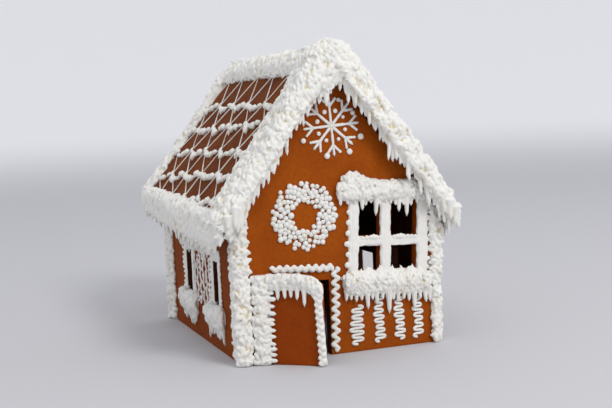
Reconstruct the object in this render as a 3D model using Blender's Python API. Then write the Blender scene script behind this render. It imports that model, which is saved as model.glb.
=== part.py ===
"""A gingerbread house: baked panels glued together and decorated with piped white icing.

Metres, +Z up. The front gable looks along -Y, and the house stands on z = 0 with no board.
The left roof panel is slightly twisted, the ridge is off centre and the front decorations lean,
as on a house that was put together by hand.
"""

import math

import bmesh
import bpy
from mathutils import Matrix, Vector

# Placing: the house's left wall face is at HOUSE_X and its front wall face at HOUSE_Y.
HOUSE_X = -0.0690
HOUSE_Y = -0.0910

# Walls
WIDTH = 0.140
DEPTH = 0.1907
WALL = 0.008
GAP = 0.0003  # between pieces that touch

# Roof, as heights of its upper surface
RIDGE_X = 0.0665
RIDGE_Z = 0.2010
ROOF = 0.006
SLICE = 0.018  # of the twisted panel, along the ridge
LEFT_EAVE_X = -0.0133
LEFT_EAVE_Z = 0.0950
RIGHT_EAVE_X = 0.1515
RIGHT_EAVE_Z = 0.0945
EAVE_LIFT = 0.0075  # the left eave's back corner sits this much higher than its front one
FRONT_OVERHANG = 0.0096
BACK_OVERHANG = 0.0170

# Window in the front wall: four panes about a centre, all leaning a little
WINDOW_X = 0.1065
WINDOW_Z = 0.0770
LEAN = math.radians(3.0)
PANES_X = ((-0.0218, -0.0052), (0.0026, 0.0218))
PANES_Z = ((-0.0233, -0.0064), (0.0000, 0.0250))
FRAME_X = (-0.0280, 0.0300)
FRAME_Z = (-0.0270, 0.0260)
FRAME_RELIEF = 0.0028

# Door opening and the leaf that stands ajar in it
DOOR_LEFT = 0.0210
DOOR_RIGHT = 0.0625
DOOR_TOP = 0.0510
LEAF_HINGE = (0.0189, -0.0051)
LEAF_ANGLE = math.radians(38.3)
LEAF_WIDTH = 0.0350
LEAF_HEIGHT = 0.0530
LEAF_THICK = 0.0060

# Two windows in each side wall: near edge, far edge, bottom and top
SIDE_WINDOWS = {
    "left": (("near", 0.0489, 0.0607, 0.0313, 0.0620), ("far", 0.1205, 0.1361, 0.0313, 0.0630)),
    "right": (("near", 0.0400, 0.0520, 0.0313, 0.0620), ("far", 0.0850, 0.1220, 0.0313, 0.0530)),
}

# Icing
VERGE_COVER = 0.0290  # over the roof behind its front edge
VERGE_HEIGHT = 0.0070
VERGE_REACH = 0.0045  # in front of the edge
VERGE_LIP = 0.0015  # below the roof's underside
BACK_VERGE_COVER = 0.0110
EAVE_COVER = 0.0120
EAVE_HEIGHT = 0.0045
EAVE_REACH = 0.0045
RIDGE_COVER = 0.0150
RIDGE_HEIGHT = 0.0055
COLUMN_TOP = 0.0920
COLUMN_RELIEF = 0.0035
COLUMN_FACE = {"left": 0.0075, "right": 0.0014}  # width on the gable's face
ICING_BASE = 0.0003  # the icing hangs this far clear of the table
BUMP = 0.0064  # from one piped bump to the next

GINGERBREAD = (0.232, 0.057, 0.010, 1.0)
GINGERBREAD_DARK = (0.150, 0.035, 0.008, 1.0)
ICING = (0.800, 0.785, 0.740, 1.0)


def clear_scene():
    for old in list(bpy.data.objects):
        bpy.data.objects.remove(old, do_unlink=True)


def principled(name, colour, roughness):
    material = bpy.data.materials.new(name)
    material.use_nodes = True
    shader = material.node_tree.nodes["Principled BSDF"]
    shader.inputs["Base Color"].default_value = colour
    shader.inputs["Roughness"].default_value = roughness
    shader.inputs["Metallic"].default_value = 0.0
    return material


def gingerbread_material(name):
    return principled(name + "_gingerbread", GINGERBREAD, 0.70)


def roof_material(name):
    return principled(name + "_gingerbread", GINGERBREAD_DARK, 0.75)


def icing_material(name):
    return principled(name + "_icing", ICING, 0.50)


def add_object(name, builder, material):
    """Turns a finished bmesh into an object that stands at the house's place."""
    bmesh.ops.recalc_face_normals(builder, faces=builder.faces)
    mesh = bpy.data.meshes.new(name)
    builder.to_mesh(mesh)
    builder.free()
    mesh.materials.append(material)
    made = bpy.data.objects.new(name, mesh)
    made.location = (HOUSE_X, HOUSE_Y, 0.0)
    bpy.context.scene.collection.objects.link(made)
    return made


def loft(name, rings, material, ring_closed=False):
    """A closed solid through rings of equally many points, capped unless the rings come full circle."""
    builder = bmesh.new()
    loops = [[builder.verts.new(point) for point in ring] for ring in rings]
    pairs = list(zip(loops, loops[1:]))
    if ring_closed:
        pairs.append((loops[-1], loops[0]))
    else:
        builder.faces.new(loops[0])
        builder.faces.new(loops[-1])
    for first, second in pairs:
        for i in range(len(first)):
            j = (i + 1) % len(first)
            builder.faces.new((first[i], first[j], second[j], second[i]))
    return add_object(name, builder, material)


def prism(name, outline, offset, material):
    """The flat outline extruded by the offset."""
    ends = [[Vector(point) + shift for point in outline] for shift in (Vector(), Vector(offset))]
    return loft(name, ends, material)


def box_into(builder, low, high, turn=None):
    made = bmesh.ops.create_cube(builder, size=1.0)["verts"]
    size = Vector(high) - Vector(low)
    middle = (Vector(high) + Vector(low)) / 2
    bmesh.ops.scale(builder, vec=size, verts=made)
    if turn is not None:
        bmesh.ops.transform(builder, matrix=turn, verts=made)
    bmesh.ops.translate(builder, vec=middle, verts=made)


def cut(target, name, builder):
    """Subtracts the boxes in the bmesh from the target with a Boolean."""
    cutter = add_object(name, builder, target.data.materials[0])
    cutter.hide_render = True
    cutter.display_type = "WIRE"
    boolean = target.modifiers.new("openings", "BOOLEAN")
    boolean.operation = "DIFFERENCE"
    boolean.solver = "EXACT"
    boolean.object = cutter


def uneven(index, low=0.0, high=1.0):
    """A repeatable scatter between low and high, from an index."""
    share = math.sin(index * 12.9898 + 4.1) * 437.585
    return low + (high - low) * (share - math.floor(share))


def steps(start, end, pitch):
    """Evenly spaced values from start to end, about one pitch apart."""
    count = max(2, round(abs(end - start) / pitch))
    return [start + (end - start) * i / count for i in range(count + 1)]


# The roof's surfaces


def left_eave_z(y):
    along = (y + FRONT_OVERHANG) / (DEPTH + FRONT_OVERHANG + BACK_OVERHANG)
    return LEFT_EAVE_Z + EAVE_LIFT * along


def slope(side, y):
    """Length and angle of the roof's upper surface on one side, from ridge to eave."""
    if side == "left":
        run, fall = RIDGE_X - LEFT_EAVE_X, RIDGE_Z - left_eave_z(y)
    else:
        run, fall = RIGHT_EAVE_X - RIDGE_X, RIDGE_Z - RIGHT_EAVE_Z
    return math.hypot(run, fall), math.atan2(fall, run)


def on_roof(side, down, y, above):
    """The point that far down the slope and above its surface, in the house's own coordinates."""
    angle = slope(side, y)[1]
    outward = -1.0 if side == "left" else 1.0
    x = RIDGE_X + outward * (down * math.cos(angle) + above * math.sin(angle))
    z = RIDGE_Z - down * math.sin(angle) + above * math.cos(angle)
    return Vector((x, y, z))


def underside_z(x, y):
    """Height of the roof's underside, less the gap, above a point of the floor."""
    side = "left" if x < RIDGE_X else "right"
    angle = slope(side, y)[1]
    return RIDGE_Z - abs(x - RIDGE_X) * math.tan(angle) - (ROOF + GAP) / math.cos(angle)


def mitre(side, above):
    """How far down the slope the ridge's middle plane is, at a height above the surface."""
    angle = slope(side, 0.0)[1]
    return (GAP / 2 - above * math.sin(angle)) / math.cos(angle)


def build_roof(side):
    rings = []
    for y in steps(-FRONT_OVERHANG, DEPTH + BACK_OVERHANG, SLICE):
        length = slope(side, y)[0]
        top_start = GAP / 2 / math.cos(slope(side, y)[1])
        under_start = mitre(side, -ROOF)
        corners = ((top_start, 0.0), (length, 0.0), (length, -ROOF), (under_start, -ROOF))
        rings.append([on_roof(side, down, y, above) for down, above in corners])
    loft("roof_" + side, rings, roof_material("roof_" + side))


# Gingerbread walls and door


def gable(name, y):
    """A gable wall whose outline stays under the roof, which rises towards the back."""
    outline = [
        (0.0, y, 0.0),
        (WIDTH, y, 0.0),
        (WIDTH, y, underside_z(WIDTH, y)),
        (RIDGE_X, y, underside_z(RIDGE_X + 1e-6, y)),
        (0.0, y, underside_z(0.0, y)),
    ]
    return prism(name, outline, (0.0, WALL, 0.0), gingerbread_material(name))


def build_front_wall():
    wall = gable("wall_front", 0.0)
    cutters = bmesh.new()
    lean = Matrix.Rotation(LEAN, 4, "Y")
    for left, right in PANES_X:
        for bottom, top in PANES_Z:
            middle = lean @ Vector(((left + right) / 2, WALL / 2, (bottom + top) / 2))
            middle += Vector((WINDOW_X, 0.0, WINDOW_Z))
            half = Vector(((right - left) / 2, WALL, (top - bottom) / 2))
            box_into(cutters, middle - half, middle + half, lean)
    box_into(cutters, (DOOR_LEFT, -WALL, -WALL), (DOOR_RIGHT, 2 * WALL, DOOR_TOP))
    cut(wall, "openings_front", cutters)


def build_back_wall():
    gable("wall_back", DEPTH - WALL)


def build_side_wall(side):
    name = "wall_" + side
    faces_x = (0.0, WALL) if side == "left" else (WIDTH - WALL, WIDTH)
    rings = []
    for y in steps(WALL + GAP, DEPTH - WALL - GAP, SLICE):
        bottom = [(x, y, 0.0) for x in faces_x]
        top = [(x, y, underside_z(x, y)) for x in reversed(faces_x)]
        rings.append(bottom + top)
    wall = loft(name, rings, gingerbread_material(name))
    cutters = bmesh.new()
    for _, near, far, bottom, top in SIDE_WINDOWS[side]:
        low = (faces_x[0] - WALL, near, bottom)
        high = (faces_x[1] + WALL, far, top)
        box_into(cutters, low, high)
    cut(wall, "openings_" + side, cutters)


def on_leaf(along, up, proud):
    """A point of the door leaf: along it from the hinge, up, and in front of its outer face."""
    x = LEAF_HINGE[0] + along * math.cos(LEAF_ANGLE) - proud * math.sin(LEAF_ANGLE)
    y = LEAF_HINGE[1] - along * math.sin(LEAF_ANGLE) - proud * math.cos(LEAF_ANGLE)
    return Vector((x, y, up))


def build_door_leaf():
    corners = ((0.0, 0.0), (LEAF_WIDTH, 0.0), (LEAF_WIDTH, LEAF_HEIGHT), (0.0, LEAF_HEIGHT))
    rings = [[on_leaf(a, up, proud) for a, up in corners] for proud in (0.0, -LEAF_THICK)]
    loft("door_leaf", rings, gingerbread_material("door_leaf"))


# Icing on the roof


def verge_section(cover, height, reach, lip, drop):
    """Points (outward from the roof's edge, above it, fall) around the edge of a roof panel."""
    return (
        (-cover, GAP, 0.0),
        (-0.80 * cover, 0.80 * height, 0.0),
        (-0.25 * cover, height, 0.0),
        (0.60 * reach, 0.80 * height, 0.0),
        (reach, -0.2 * ROOF, 0.0),
        (0.70 * reach, -ROOF - lip, drop),
        (GAP, -ROOF - 0.4 * lip, 0.0),
        (GAP, GAP, 0.0),
    )


def verge_height(down, share):
    """Low where the two slopes meet, fattest a little below the ridge, thin at the eave."""
    shoulder = 0.50 + 0.50 * min(1.0, down / 0.016)
    swell = 0.45 * math.exp(-(((down - 0.022) / 0.025) ** 2))
    return VERGE_HEIGHT * (1.0 + swell - 0.35 * share) * shoulder


def build_verge(side, end):
    """The icing over a roof panel's front or back edge, fat at the ridge, with icicles below."""
    front = end == "front"
    edge = -FRONT_OVERHANG if front else DEPTH + BACK_OVERHANG
    outward = -1.0 if front else 1.0
    inner = edge - outward * (VERGE_COVER if front else BACK_VERGE_COVER)
    length = min(slope(side, edge)[0], slope(side, inner)[0]) - EAVE_COVER - GAP
    rings = []
    for i, down in enumerate(steps(0.0, length, 0.55 * BUMP if front else 0.9 * BUMP)):
        share = down / length
        crest = 1.0 if i % 2 else 0.82
        height = verge_height(down, share) * crest
        cover = (VERGE_COVER if front else BACK_VERGE_COVER) * (0.94 + 0.06 * crest)
        if not front:
            height *= 0.6
        drop = uneven(i, 0.002, 0.009) if i % 2 and 0.04 < share < 0.95 else 0.0
        ring = []
        for out, above, fall in verge_section(cover, height, VERGE_REACH * crest, VERGE_LIP, drop):
            start = mitre(side, above)
            y = edge + outward * out
            point = on_roof(side, start + (length - start) * share, y, above)
            point.z -= fall
            ring.append(point)
        rings.append(ring)
    name = "icing_verge_" + end + "_" + side
    loft(name, rings, icing_material(name))


def build_eave(side):
    """The icing that wraps a roof panel's lower edge from end to end, hanging in icicles."""
    front = -FRONT_OVERHANG - VERGE_REACH
    back = DEPTH + BACK_OVERHANG + VERGE_REACH
    inside = -FRONT_OVERHANG - GAP
    outside = DEPTH + BACK_OVERHANG + GAP
    places = [front, (front + inside) / 2, inside - GAP]
    places += steps(inside, outside, 0.8 * BUMP)
    places += [outside + GAP, (back + outside) / 2, back]
    rings = []
    for i, y in enumerate(places):
        crest = 1.0 if i % 2 else 0.80
        height = EAVE_HEIGHT * crest
        reach = EAVE_REACH * crest
        drop = uneven(i, 0.004, 0.009) if i % 2 else 0.002
        past_panel = y < inside - GAP / 2 or y > outside + GAP / 2
        inner = (-EAVE_COVER * 0.6, -0.4 * ROOF) if past_panel else (GAP, GAP)
        section = (
            (-EAVE_COVER, GAP, 0.0),
            (-0.75 * EAVE_COVER, 0.8 * height, 0.0),
            (0.0, height, 0.0),
            (0.8 * reach, 0.2 * height, 0.0),
            (reach, -0.7 * ROOF, 0.0),
            (0.6 * reach, -ROOF, drop),
            (GAP, -ROOF, 0.3 * drop),
            (inner[0], inner[1], 0.0),
        )
        length = slope(side, y)[0]
        ring = []
        for out, above, fall in section:
            point = on_roof(side, length + out, y, above)
            point.z -= fall
            ring.append(point)
        rings.append(ring)
    name = "icing_eave_" + side
    loft(name, rings, icing_material(name))


def build_ridge():
    """The saddle of icing along the ridge, between the front and back verges."""
    front = VERGE_COVER - FRONT_OVERHANG + GAP
    back = DEPTH + BACK_OVERHANG - BACK_VERGE_COVER - GAP
    rings = []
    for i, y in enumerate(steps(front, back, 0.7 * BUMP)):
        crest = 1.0 if i % 2 else 0.80
        height = RIDGE_HEIGHT * crest * uneven(i, 0.9, 1.0)
        flank = ((RIDGE_COVER, GAP), (0.9 * RIDGE_COVER, 0.8 * height), (0.4 * RIDGE_COVER, height))
        left = [on_roof("left", down, y, above) for down, above in flank]
        right = [on_roof("right", down, y, above) for down, above in reversed(flank)]
        peak = Vector((RIDGE_X, y, RIDGE_Z + 1.15 * height))
        saddle = Vector((RIDGE_X, y, RIDGE_Z + 2 * GAP))
        rings.append(left + [peak] + right + [saddle])
    loft("icing_ridge", rings, icing_material("icing_ridge"))


# Icing on the walls


def on_front(across, up, proud):
    return Vector((across, -proud, up))


def on_window(across, up, proud):
    """A point by its place from the leaning window's centre."""
    x = WINDOW_X + across * math.cos(LEAN) + up * math.sin(LEAN)
    z = WINDOW_Z - across * math.sin(LEAN) + up * math.cos(LEAN)
    return Vector((x, -proud, z))


def on_back(across, up, proud):
    return Vector((WIDTH - across, DEPTH + proud, up))


def on_side(side):
    def place(along, up, proud):
        return Vector((-proud if side == "left" else WIDTH + proud, along, up))

    return place


def build_column(corner_x, corner_y):
    """A scalloped strip of icing that wraps a corner of the house from the table to the eave."""
    toward_x = 1.0 if corner_x == "left" else -1.0
    toward_y = 1.0 if corner_y == "front" else -1.0
    x = 0.0 if corner_x == "left" else WIDTH
    y = 0.0 if corner_y == "front" else DEPTH
    pitch = BUMP / 2 if corner_y == "front" else BUMP
    rings = []
    for i, z in enumerate(steps(ICING_BASE, COLUMN_TOP, pitch)):
        crest = 1.0 if i % 2 else 0.72
        face = crest * COLUMN_FACE[corner_x]
        flank = 0.0180 - 0.0020 * (1.0 - crest)
        relief = COLUMN_RELIEF * (0.6 + 0.4 * crest)
        section = (
            (-GAP, flank),
            (-0.8 * relief, flank - 0.001),
            (-relief, 0.004),
            (-0.8 * relief, -0.8 * relief),
            (0.4 * face, -relief),
            (0.85 * face, -0.8 * relief),
            (face, -GAP),
            (-GAP, -GAP),
        )
        rings.append([Vector((x + toward_x * a, y + toward_y * b, z)) for a, b in section])
    name = "icing_column_" + corner_y + "_" + corner_x
    loft(name, rings, icing_material(name))


def snow_band(name, place, start, end, middle, top, bottom, relief, drops, rise=None):
    """A heap of icing along a wall: a bumpy upper edge, a crowned front and icicles below."""
    rings = []
    for i, along in enumerate(steps(start, end, BUMP / 2)):
        crest = 1.0 if i % 2 else 0.82
        inset = 0.6 if along in (start, end) else 1.0
        upper = middle + top * crest * inset + (rise(along) if rise else 0.0)
        drop = uneven(i, *drops) if i % 2 else 0.0
        lower = middle - bottom * inset
        height = relief * crest * inset
        section = (
            (upper, GAP),
            (upper - 0.25 * top, 0.75 * height),
            (middle, height),
            (lower, 0.6 * height),
            (lower - drop, 0.45 * height),
            (lower - 0.6 * drop, GAP),
        )
        rings.append([place(along, up, proud) for up, proud in section])
    return loft(name, rings, icing_material(name))


def piped_line(name, place, path, half_width, relief):
    """A bead of icing along a flat path of (across, up) points."""
    rings = []
    for i, point in enumerate(path):
        before = Vector(path[max(i - 1, 0)])
        after = Vector(path[min(i + 1, len(path) - 1)])
        run = (after - before).normalized()
        side = Vector((-run.y, run.x)) * half_width
        middle = Vector(point)
        ring = []
        for share, proud in ((1.0, GAP), (0.55, relief), (-0.55, relief), (-1.0, GAP)):
            where = middle + side * share
            ring.append(place(where.x, where.y, proud))
        rings.append(ring)
    return loft(name, rings, icing_material(name))


def plate_with_holes(name, place, columns, rows, holes, relief):
    """A flat grid of bars: every cell between the column and row lines, except the holes."""
    builder = bmesh.new()
    grid = [[builder.verts.new(place(a, up, GAP)) for up in rows] for a in columns]
    for i in range(len(columns) - 1):
        for j in range(len(rows) - 1):
            if (i, j) in holes:
                continue
            builder.faces.new((grid[i][j], grid[i + 1][j], grid[i + 1][j + 1], grid[i][j + 1]))
    outward = place(0.0, 0.0, 1.0) - place(0.0, 0.0, 0.0)
    raised = bmesh.ops.extrude_face_region(builder, geom=list(builder.faces), use_keep_orig=True)
    lifted = [item for item in raised["geom"] if isinstance(item, bmesh.types.BMVert)]
    bmesh.ops.translate(builder, vec=outward * (relief - GAP), verts=lifted)
    return add_object(name, builder, icing_material(name))


def build_window_frame():
    columns = [FRAME_X[0], *PANES_X[0], *PANES_X[1], FRAME_X[1]]
    rows = [FRAME_Z[0], *PANES_Z[0], *PANES_Z[1], FRAME_Z[1]]
    holes = {(1, 1), (3, 1), (1, 3), (3, 3)}
    plate_with_holes("icing_window_frame", on_window, columns, rows, holes, FRAME_RELIEF)


def lintel_rise(across):
    """A lump at the lintel's left end, and a fall at its right end, below the roof."""
    lump = 0.0070 * math.exp(-(((across + 0.0210) / 0.0100) ** 2))
    return lump - 0.0040 * max(0.0, (across - 0.0120) / 0.0130) ** 2


def build_window_heaps():
    lintel_low = FRAME_Z[1] + GAP
    middle = lintel_low + 0.0045
    snow_band("icing_window_lintel", on_window, -0.0345, 0.0250, middle,
              0.0085, 0.0045, 0.0075, (0.0, 0.0), lintel_rise)
    middle = FRAME_Z[0] - GAP - 0.0050
    snow_band("icing_window_sill", on_window, -0.0310, 0.0320, middle,
              0.0050, 0.0060, 0.0070, (0.003, 0.009))


def build_door_icing():
    snow_band("icing_door_hood", on_leaf, 0.0005, LEAF_WIDTH + 0.003, 0.0545,
              0.0045, 0.0045, 0.0032, (0.002, 0.006))
    strip = [(LEAF_WIDTH - 0.0005 + 0.0010 * (i % 2), z)
             for i, z in enumerate(steps(0.0010, 0.0410, BUMP))]
    piped_line("icing_door_strip", on_leaf, strip, 0.0036, 0.0026)


def build_hinge_icing():
    """The jagged strip that glues the leaf to the wall."""
    rings = []
    for i, z in enumerate(steps(ICING_BASE, 0.0590, BUMP / 2)):
        reach = 0.0030 if i % 2 else 0.0
        rings.append([
            Vector((0.0085, -GAP, z)),
            Vector((0.0085, -0.0035, z)),
            Vector((0.0125, -0.0055, z)),
            Vector((0.0165 + reach * 0.3, -0.0060 - reach * 0.3, z)),
            Vector((0.0172, -0.0030, z)),
            Vector((0.0185, -GAP, z)),
        ])
    loft("icing_door_hinge", rings, icing_material("icing_door_hinge"))


def build_door_trim():
    """The wave piped over the door and down its right side."""
    half = BUMP / 2
    swing = 0.0014
    top = steps(0.0250, 0.0665, half)
    right = steps(0.0590, 0.0040, half)
    path = [(x, 0.0618 - 0.055 * (x - top[0]) + (swing if i % 2 else -swing))
            for i, x in enumerate(top)]
    path += [(0.0672 - 0.03 * (right[0] - z) + (swing if i % 2 else -swing), z)
             for i, z in enumerate(right[1:])]
    piped_line("icing_door_trim", on_front, path, 0.0013, 0.0022)


def build_wreath():
    """A ring of dots on the front wall, as one ring with a lumpy outline."""
    centre_x, centre_z = 0.0470, 0.0960
    middle = 0.0165
    rings = []
    count = 30
    for i in range(count):
        turn = 2 * math.pi * i / count
        half = 0.0070 if i % 2 else 0.0058
        ring = []
        for share, proud in ((1.0, GAP), (0.8, 0.0024), (-0.8, 0.0024), (-1.0, GAP)):
            radius = middle + half * share
            across = centre_x + radius * math.cos(turn)
            ring.append(on_front(across, centre_z + radius * math.sin(turn), proud))
        rings.append(ring)
    loft("icing_wreath", rings, icing_material("icing_wreath"), ring_closed=True)


def flake_outline():
    """A star of eight arms, each with a pair of side branches, as (across, up) points."""
    arm = 0.0205
    half = 0.0009
    hub = 2.8 * half
    one_side = ((0.55 * arm, half), (0.80 * arm, 0.0052), (0.86 * arm, 0.0038), (0.72 * arm, half))
    outline = []
    for k in range(8):
        turn = Matrix.Rotation(math.radians(45 * k + 4), 2)
        right = [(out, -side) for out, side in one_side]
        left = [(out, side) for out, side in reversed(one_side)]
        points = [(hub, -half)] + right + [(arm, -half), (arm, half)] + left + [(hub, half)]
        outline += [turn @ Vector(point) for point in points]
    return outline


def build_snowflake(name, place, centre):
    rings = []
    for proud in (GAP, 0.0018):
        rings.append([place(centre[0] + p.x, centre[1] + p.y, proud) for p in flake_outline()])
    loft(name, rings, icing_material(name))


def build_squiggles():
    """Four serpentine lines below the window: middle, width and top of each."""
    shapes = ((0.0815, 0.0105, 0.0290), (0.0980, 0.0080, 0.0310),
              (0.1130, 0.0080, 0.0270), (0.1270, 0.0080, 0.0270))
    for number, (middle, width, top) in enumerate(shapes, start=1):
        turns = steps(0.0045, top, 0.0022)
        path = []
        for i, z in enumerate(turns):
            side = 1.0 if i % 2 else -1.0
            path.append((middle + side * width / 2, z - 0.0004))
            path.append((middle + side * width / 2, z + 0.0004))
        piped_line("icing_squiggle_%d" % number, on_front, path, 0.0006, 0.0016)


def build_side_window(side, which, near, far, bottom, top):
    """The band round a side window, and the heap below it."""
    place = on_side(side)
    stem = "icing_" + side + "_window_" + which
    columns = [near - 0.0065, near, far, far + 0.0065]
    rows = [bottom - 0.0020, bottom, top, top + 0.0090]
    plate_with_holes(stem, place, columns, rows, {(1, 1)}, 0.0020)
    snow_band(stem + "_sill", place, near - 0.0120, far + 0.0120, bottom - 0.0080,
              0.0050, 0.0090, 0.0045, (0.002, 0.008))


def main():
    clear_scene()
    build_front_wall()
    build_back_wall()
    build_door_leaf()
    build_ridge()
    for side in ("left", "right"):
        build_side_wall(side)
        build_roof(side)
        build_eave(side)
        for end in ("front", "back"):
            build_verge(side, end)
            build_column(side, end)
        for which, near, far, bottom, top in SIDE_WINDOWS[side]:
            build_side_window(side, which, near, far, bottom, top)
    build_window_frame()
    build_window_heaps()
    build_door_icing()
    build_hinge_icing()
    build_door_trim()
    build_wreath()
    build_snowflake("icing_snowflake_front", on_front, (0.0684, 0.1530))
    build_snowflake("icing_snowflake_back", on_back, (WIDTH - RIDGE_X, 0.1400))
    build_squiggles()


main()
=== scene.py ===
import math
import zlib

import bmesh
import bpy
import numpy as np
from mathutils import Matrix, Vector


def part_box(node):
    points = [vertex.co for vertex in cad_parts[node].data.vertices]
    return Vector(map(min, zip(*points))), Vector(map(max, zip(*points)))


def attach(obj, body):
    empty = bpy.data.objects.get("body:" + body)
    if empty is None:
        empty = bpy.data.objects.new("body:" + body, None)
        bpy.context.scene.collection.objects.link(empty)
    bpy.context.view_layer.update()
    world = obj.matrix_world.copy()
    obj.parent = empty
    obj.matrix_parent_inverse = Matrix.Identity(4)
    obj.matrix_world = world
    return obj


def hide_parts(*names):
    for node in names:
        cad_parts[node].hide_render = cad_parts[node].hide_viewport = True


# A gingerbread house: baked panels from the frame, and piped royal icing worked out here.
# Shapes are worked out in the house's own coordinates, in metres: x from the left wall's outer
# face, y from the front wall's outer face, z from the table.

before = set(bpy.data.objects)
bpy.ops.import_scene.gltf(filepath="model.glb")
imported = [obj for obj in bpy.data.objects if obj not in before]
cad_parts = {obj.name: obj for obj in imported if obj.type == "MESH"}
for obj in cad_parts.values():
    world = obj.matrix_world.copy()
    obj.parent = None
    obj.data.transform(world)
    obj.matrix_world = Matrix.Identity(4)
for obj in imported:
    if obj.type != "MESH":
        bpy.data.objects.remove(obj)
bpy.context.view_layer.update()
mm = 0.001

print("stage 1: measures of the house, read from the frame")


def nodePoints(name):
    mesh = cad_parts[name].data
    flat = np.empty(len(mesh.vertices) * 3, np.float32)
    mesh.vertices.foreach_get("co", flat)
    return flat.reshape(-1, 3).astype(float) - houseOrigin


def nodeBox(name):
    low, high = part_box(name)
    return np.array(low) - houseOrigin, np.array(high) - houseOrigin


houseOrigin = np.array((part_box("wall_left")[0].x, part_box("wall_front")[0].y, 0.0))
wallWidth = nodeBox("wall_right")[1][0]
wallDepth = nodeBox("wall_back")[1][1]
leftPanel, rightPanel = nodePoints("roof_left"), nodePoints("roof_right")
frontEdge, backEdge = leftPanel[:, 1].min(), leftPanel[:, 1].max()
ridgeX, _, ridgeZ = leftPanel[leftPanel[:, 2].argmax()]


# the corner of a roof panel that is furthest out at one end of the house
def eaveCorner(panel, y, outward):
    end = panel[np.abs(panel[:, 1] - y) < 0.1 * mm]
    return end[(outward * end[:, 0]).argmax()]


sideSign = {"left": -1.0, "right": 1.0}
eaveX, eaveFrontZ, eaveBackZ = {}, {}, {}
for panelSide, panel in (("left", leftPanel), ("right", rightPanel)):
    eaveX[panelSide], _, eaveFrontZ[panelSide] = eaveCorner(panel, frontEdge, sideSign[panelSide])
    eaveBackZ[panelSide] = eaveCorner(panel, backEdge, sideSign[panelSide])[2]
roofThick = 6.0 * mm
gap = 0.3 * mm  # between touching pieces of the frame
leafPoints = nodePoints("door_leaf")
leafHinge = leafPoints[leafPoints[:, 0].argmin()][:2]
leafEnd = leafPoints[leafPoints[:, 1].argmin()][:2]
leafAngle = math.atan2(leafHinge[1] - leafEnd[1], leafEnd[0] - leafHinge[0])


# Where things are: each place function takes arrays and gives points


# the height from the eave to the ridge: the eave is not level, so it changes from front to back
def fallAt(side, y):
    share = (y - frontEdge) / (backEdge - frontEdge)
    return ridgeZ - eaveFrontZ[side] - (eaveBackZ[side] - eaveFrontZ[side]) * share


# along the slope from the ridge, along the ridge, and above the panel's upper face
def onRoof(side, down, y, above):
    angle = np.arctan2(fallAt(side, y), abs(eaveX[side] - ridgeX))
    x = ridgeX + sideSign[side] * (down * np.cos(angle) + above * np.sin(angle))
    z = ridgeZ - down * np.sin(angle) + above * np.cos(angle)
    return np.stack(np.broadcast_arrays(x, y, z), -1)


def slopeLength(side, y):
    return np.hypot(fallAt(side, y), abs(eaveX[side] - ridgeX))


# where the ridge's middle plane is, measured down the slope at a height above the panel
def mitre(side, above):
    return -above * (ridgeZ - eaveFrontZ[side]) / abs(eaveX[side] - ridgeX)


def onFront(across, up, proud):
    return np.stack(np.broadcast_arrays(across, -proud, up), -1)


def onBack(across, up, proud):
    return np.stack(np.broadcast_arrays(wallWidth - across, wallDepth + proud, up), -1)


def onLeft(along, up, proud):
    return np.stack(np.broadcast_arrays(-proud, along, up), -1)


def onRight(along, up, proud):
    return np.stack(np.broadcast_arrays(wallWidth + proud, along, up), -1)


wallPlace = {"left": onLeft, "right": onRight}


# the way off the surface that a place function works on
def facingOf(place):
    return place(0.0, 0.0, 1.0) - place(0.0, 0.0, 0.0)


# along the door leaf from its hinge, up, and in front of its outer face
def onLeaf(along, up, proud):
    x = leafHinge[0] + along * math.cos(leafAngle) - proud * math.sin(leafAngle)
    y = leafHinge[1] - along * math.sin(leafAngle) - proud * math.cos(leafAngle)
    return np.stack(np.broadcast_arrays(x, y, up), -1)


window = {
    "lean": math.radians(3.0),
    "middle": (1.0 * mm, -0.5 * mm),  # the frame's middle from the window's centre
    "jambs": (-28.0 * mm, 30.0 * mm),
    "panesAcross": ((-21.8 * mm, -5.2 * mm), (2.6 * mm, 21.8 * mm)),
    "panesUp": ((-23.3 * mm, -6.4 * mm), (0.0, 25.0 * mm)),
    "ends": (-27.0 * mm, 26.0 * mm),
    "relief": 2.4 * mm,
}
frameMiddle = np.mean(nodeBox("icing_window_frame"), axis=0)
leanCos, leanSin = math.cos(window["lean"]), math.sin(window["lean"])
windowX = frameMiddle[0] - window["middle"][0] * leanCos - window["middle"][1] * leanSin
windowZ = frameMiddle[2] + window["middle"][0] * leanSin - window["middle"][1] * leanCos


# from the leaning window's centre
def onWindow(across, up, proud):
    x = windowX + across * leanCos + up * leanSin
    z = windowZ - across * leanSin + up * leanCos
    return np.stack(np.broadcast_arrays(x, -proud, z), -1)


print("stage 2: how icing is shaped")


# each piece has random numbers of its own, which its name decides
def diceFor(name):
    return np.random.default_rng(zlib.crc32(name.encode()))


def unit(vectors):
    return vectors / np.maximum(np.linalg.norm(vectors, axis=-1, keepdims=True), 1e-12)


# smooth bumps between about -1 and 1: seven sine waves of that size crossing in set directions
def lumps(points, size, dice):
    waves = unit(dice.normal(size=(7, 3))) * (2 * np.pi / size) * dice.uniform(0.6, 1.5, (7, 1))
    return np.sin(points @ waves.T + dice.uniform(0, 2 * np.pi, 7)).sum(-1) / 3.5


# A shape is its points, quads, triangles, and how deep in the icing each point lies, from 0 to 1.
# Faces are turned round where the volume they close comes out negative.
def shapeOf(points, quads, triangles, depth):
    corners = np.concatenate([quads[:, (0, 1, 2)], quads[:, (0, 2, 3)], triangles])
    a, b, c = points[corners[:, 0]], points[corners[:, 1]], points[corners[:, 2]]
    if (a * np.cross(b, c)).sum() < 0:
        quads, triangles = quads[:, ::-1], triangles[:, ::-1]
    return points, quads, triangles, depth


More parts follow.
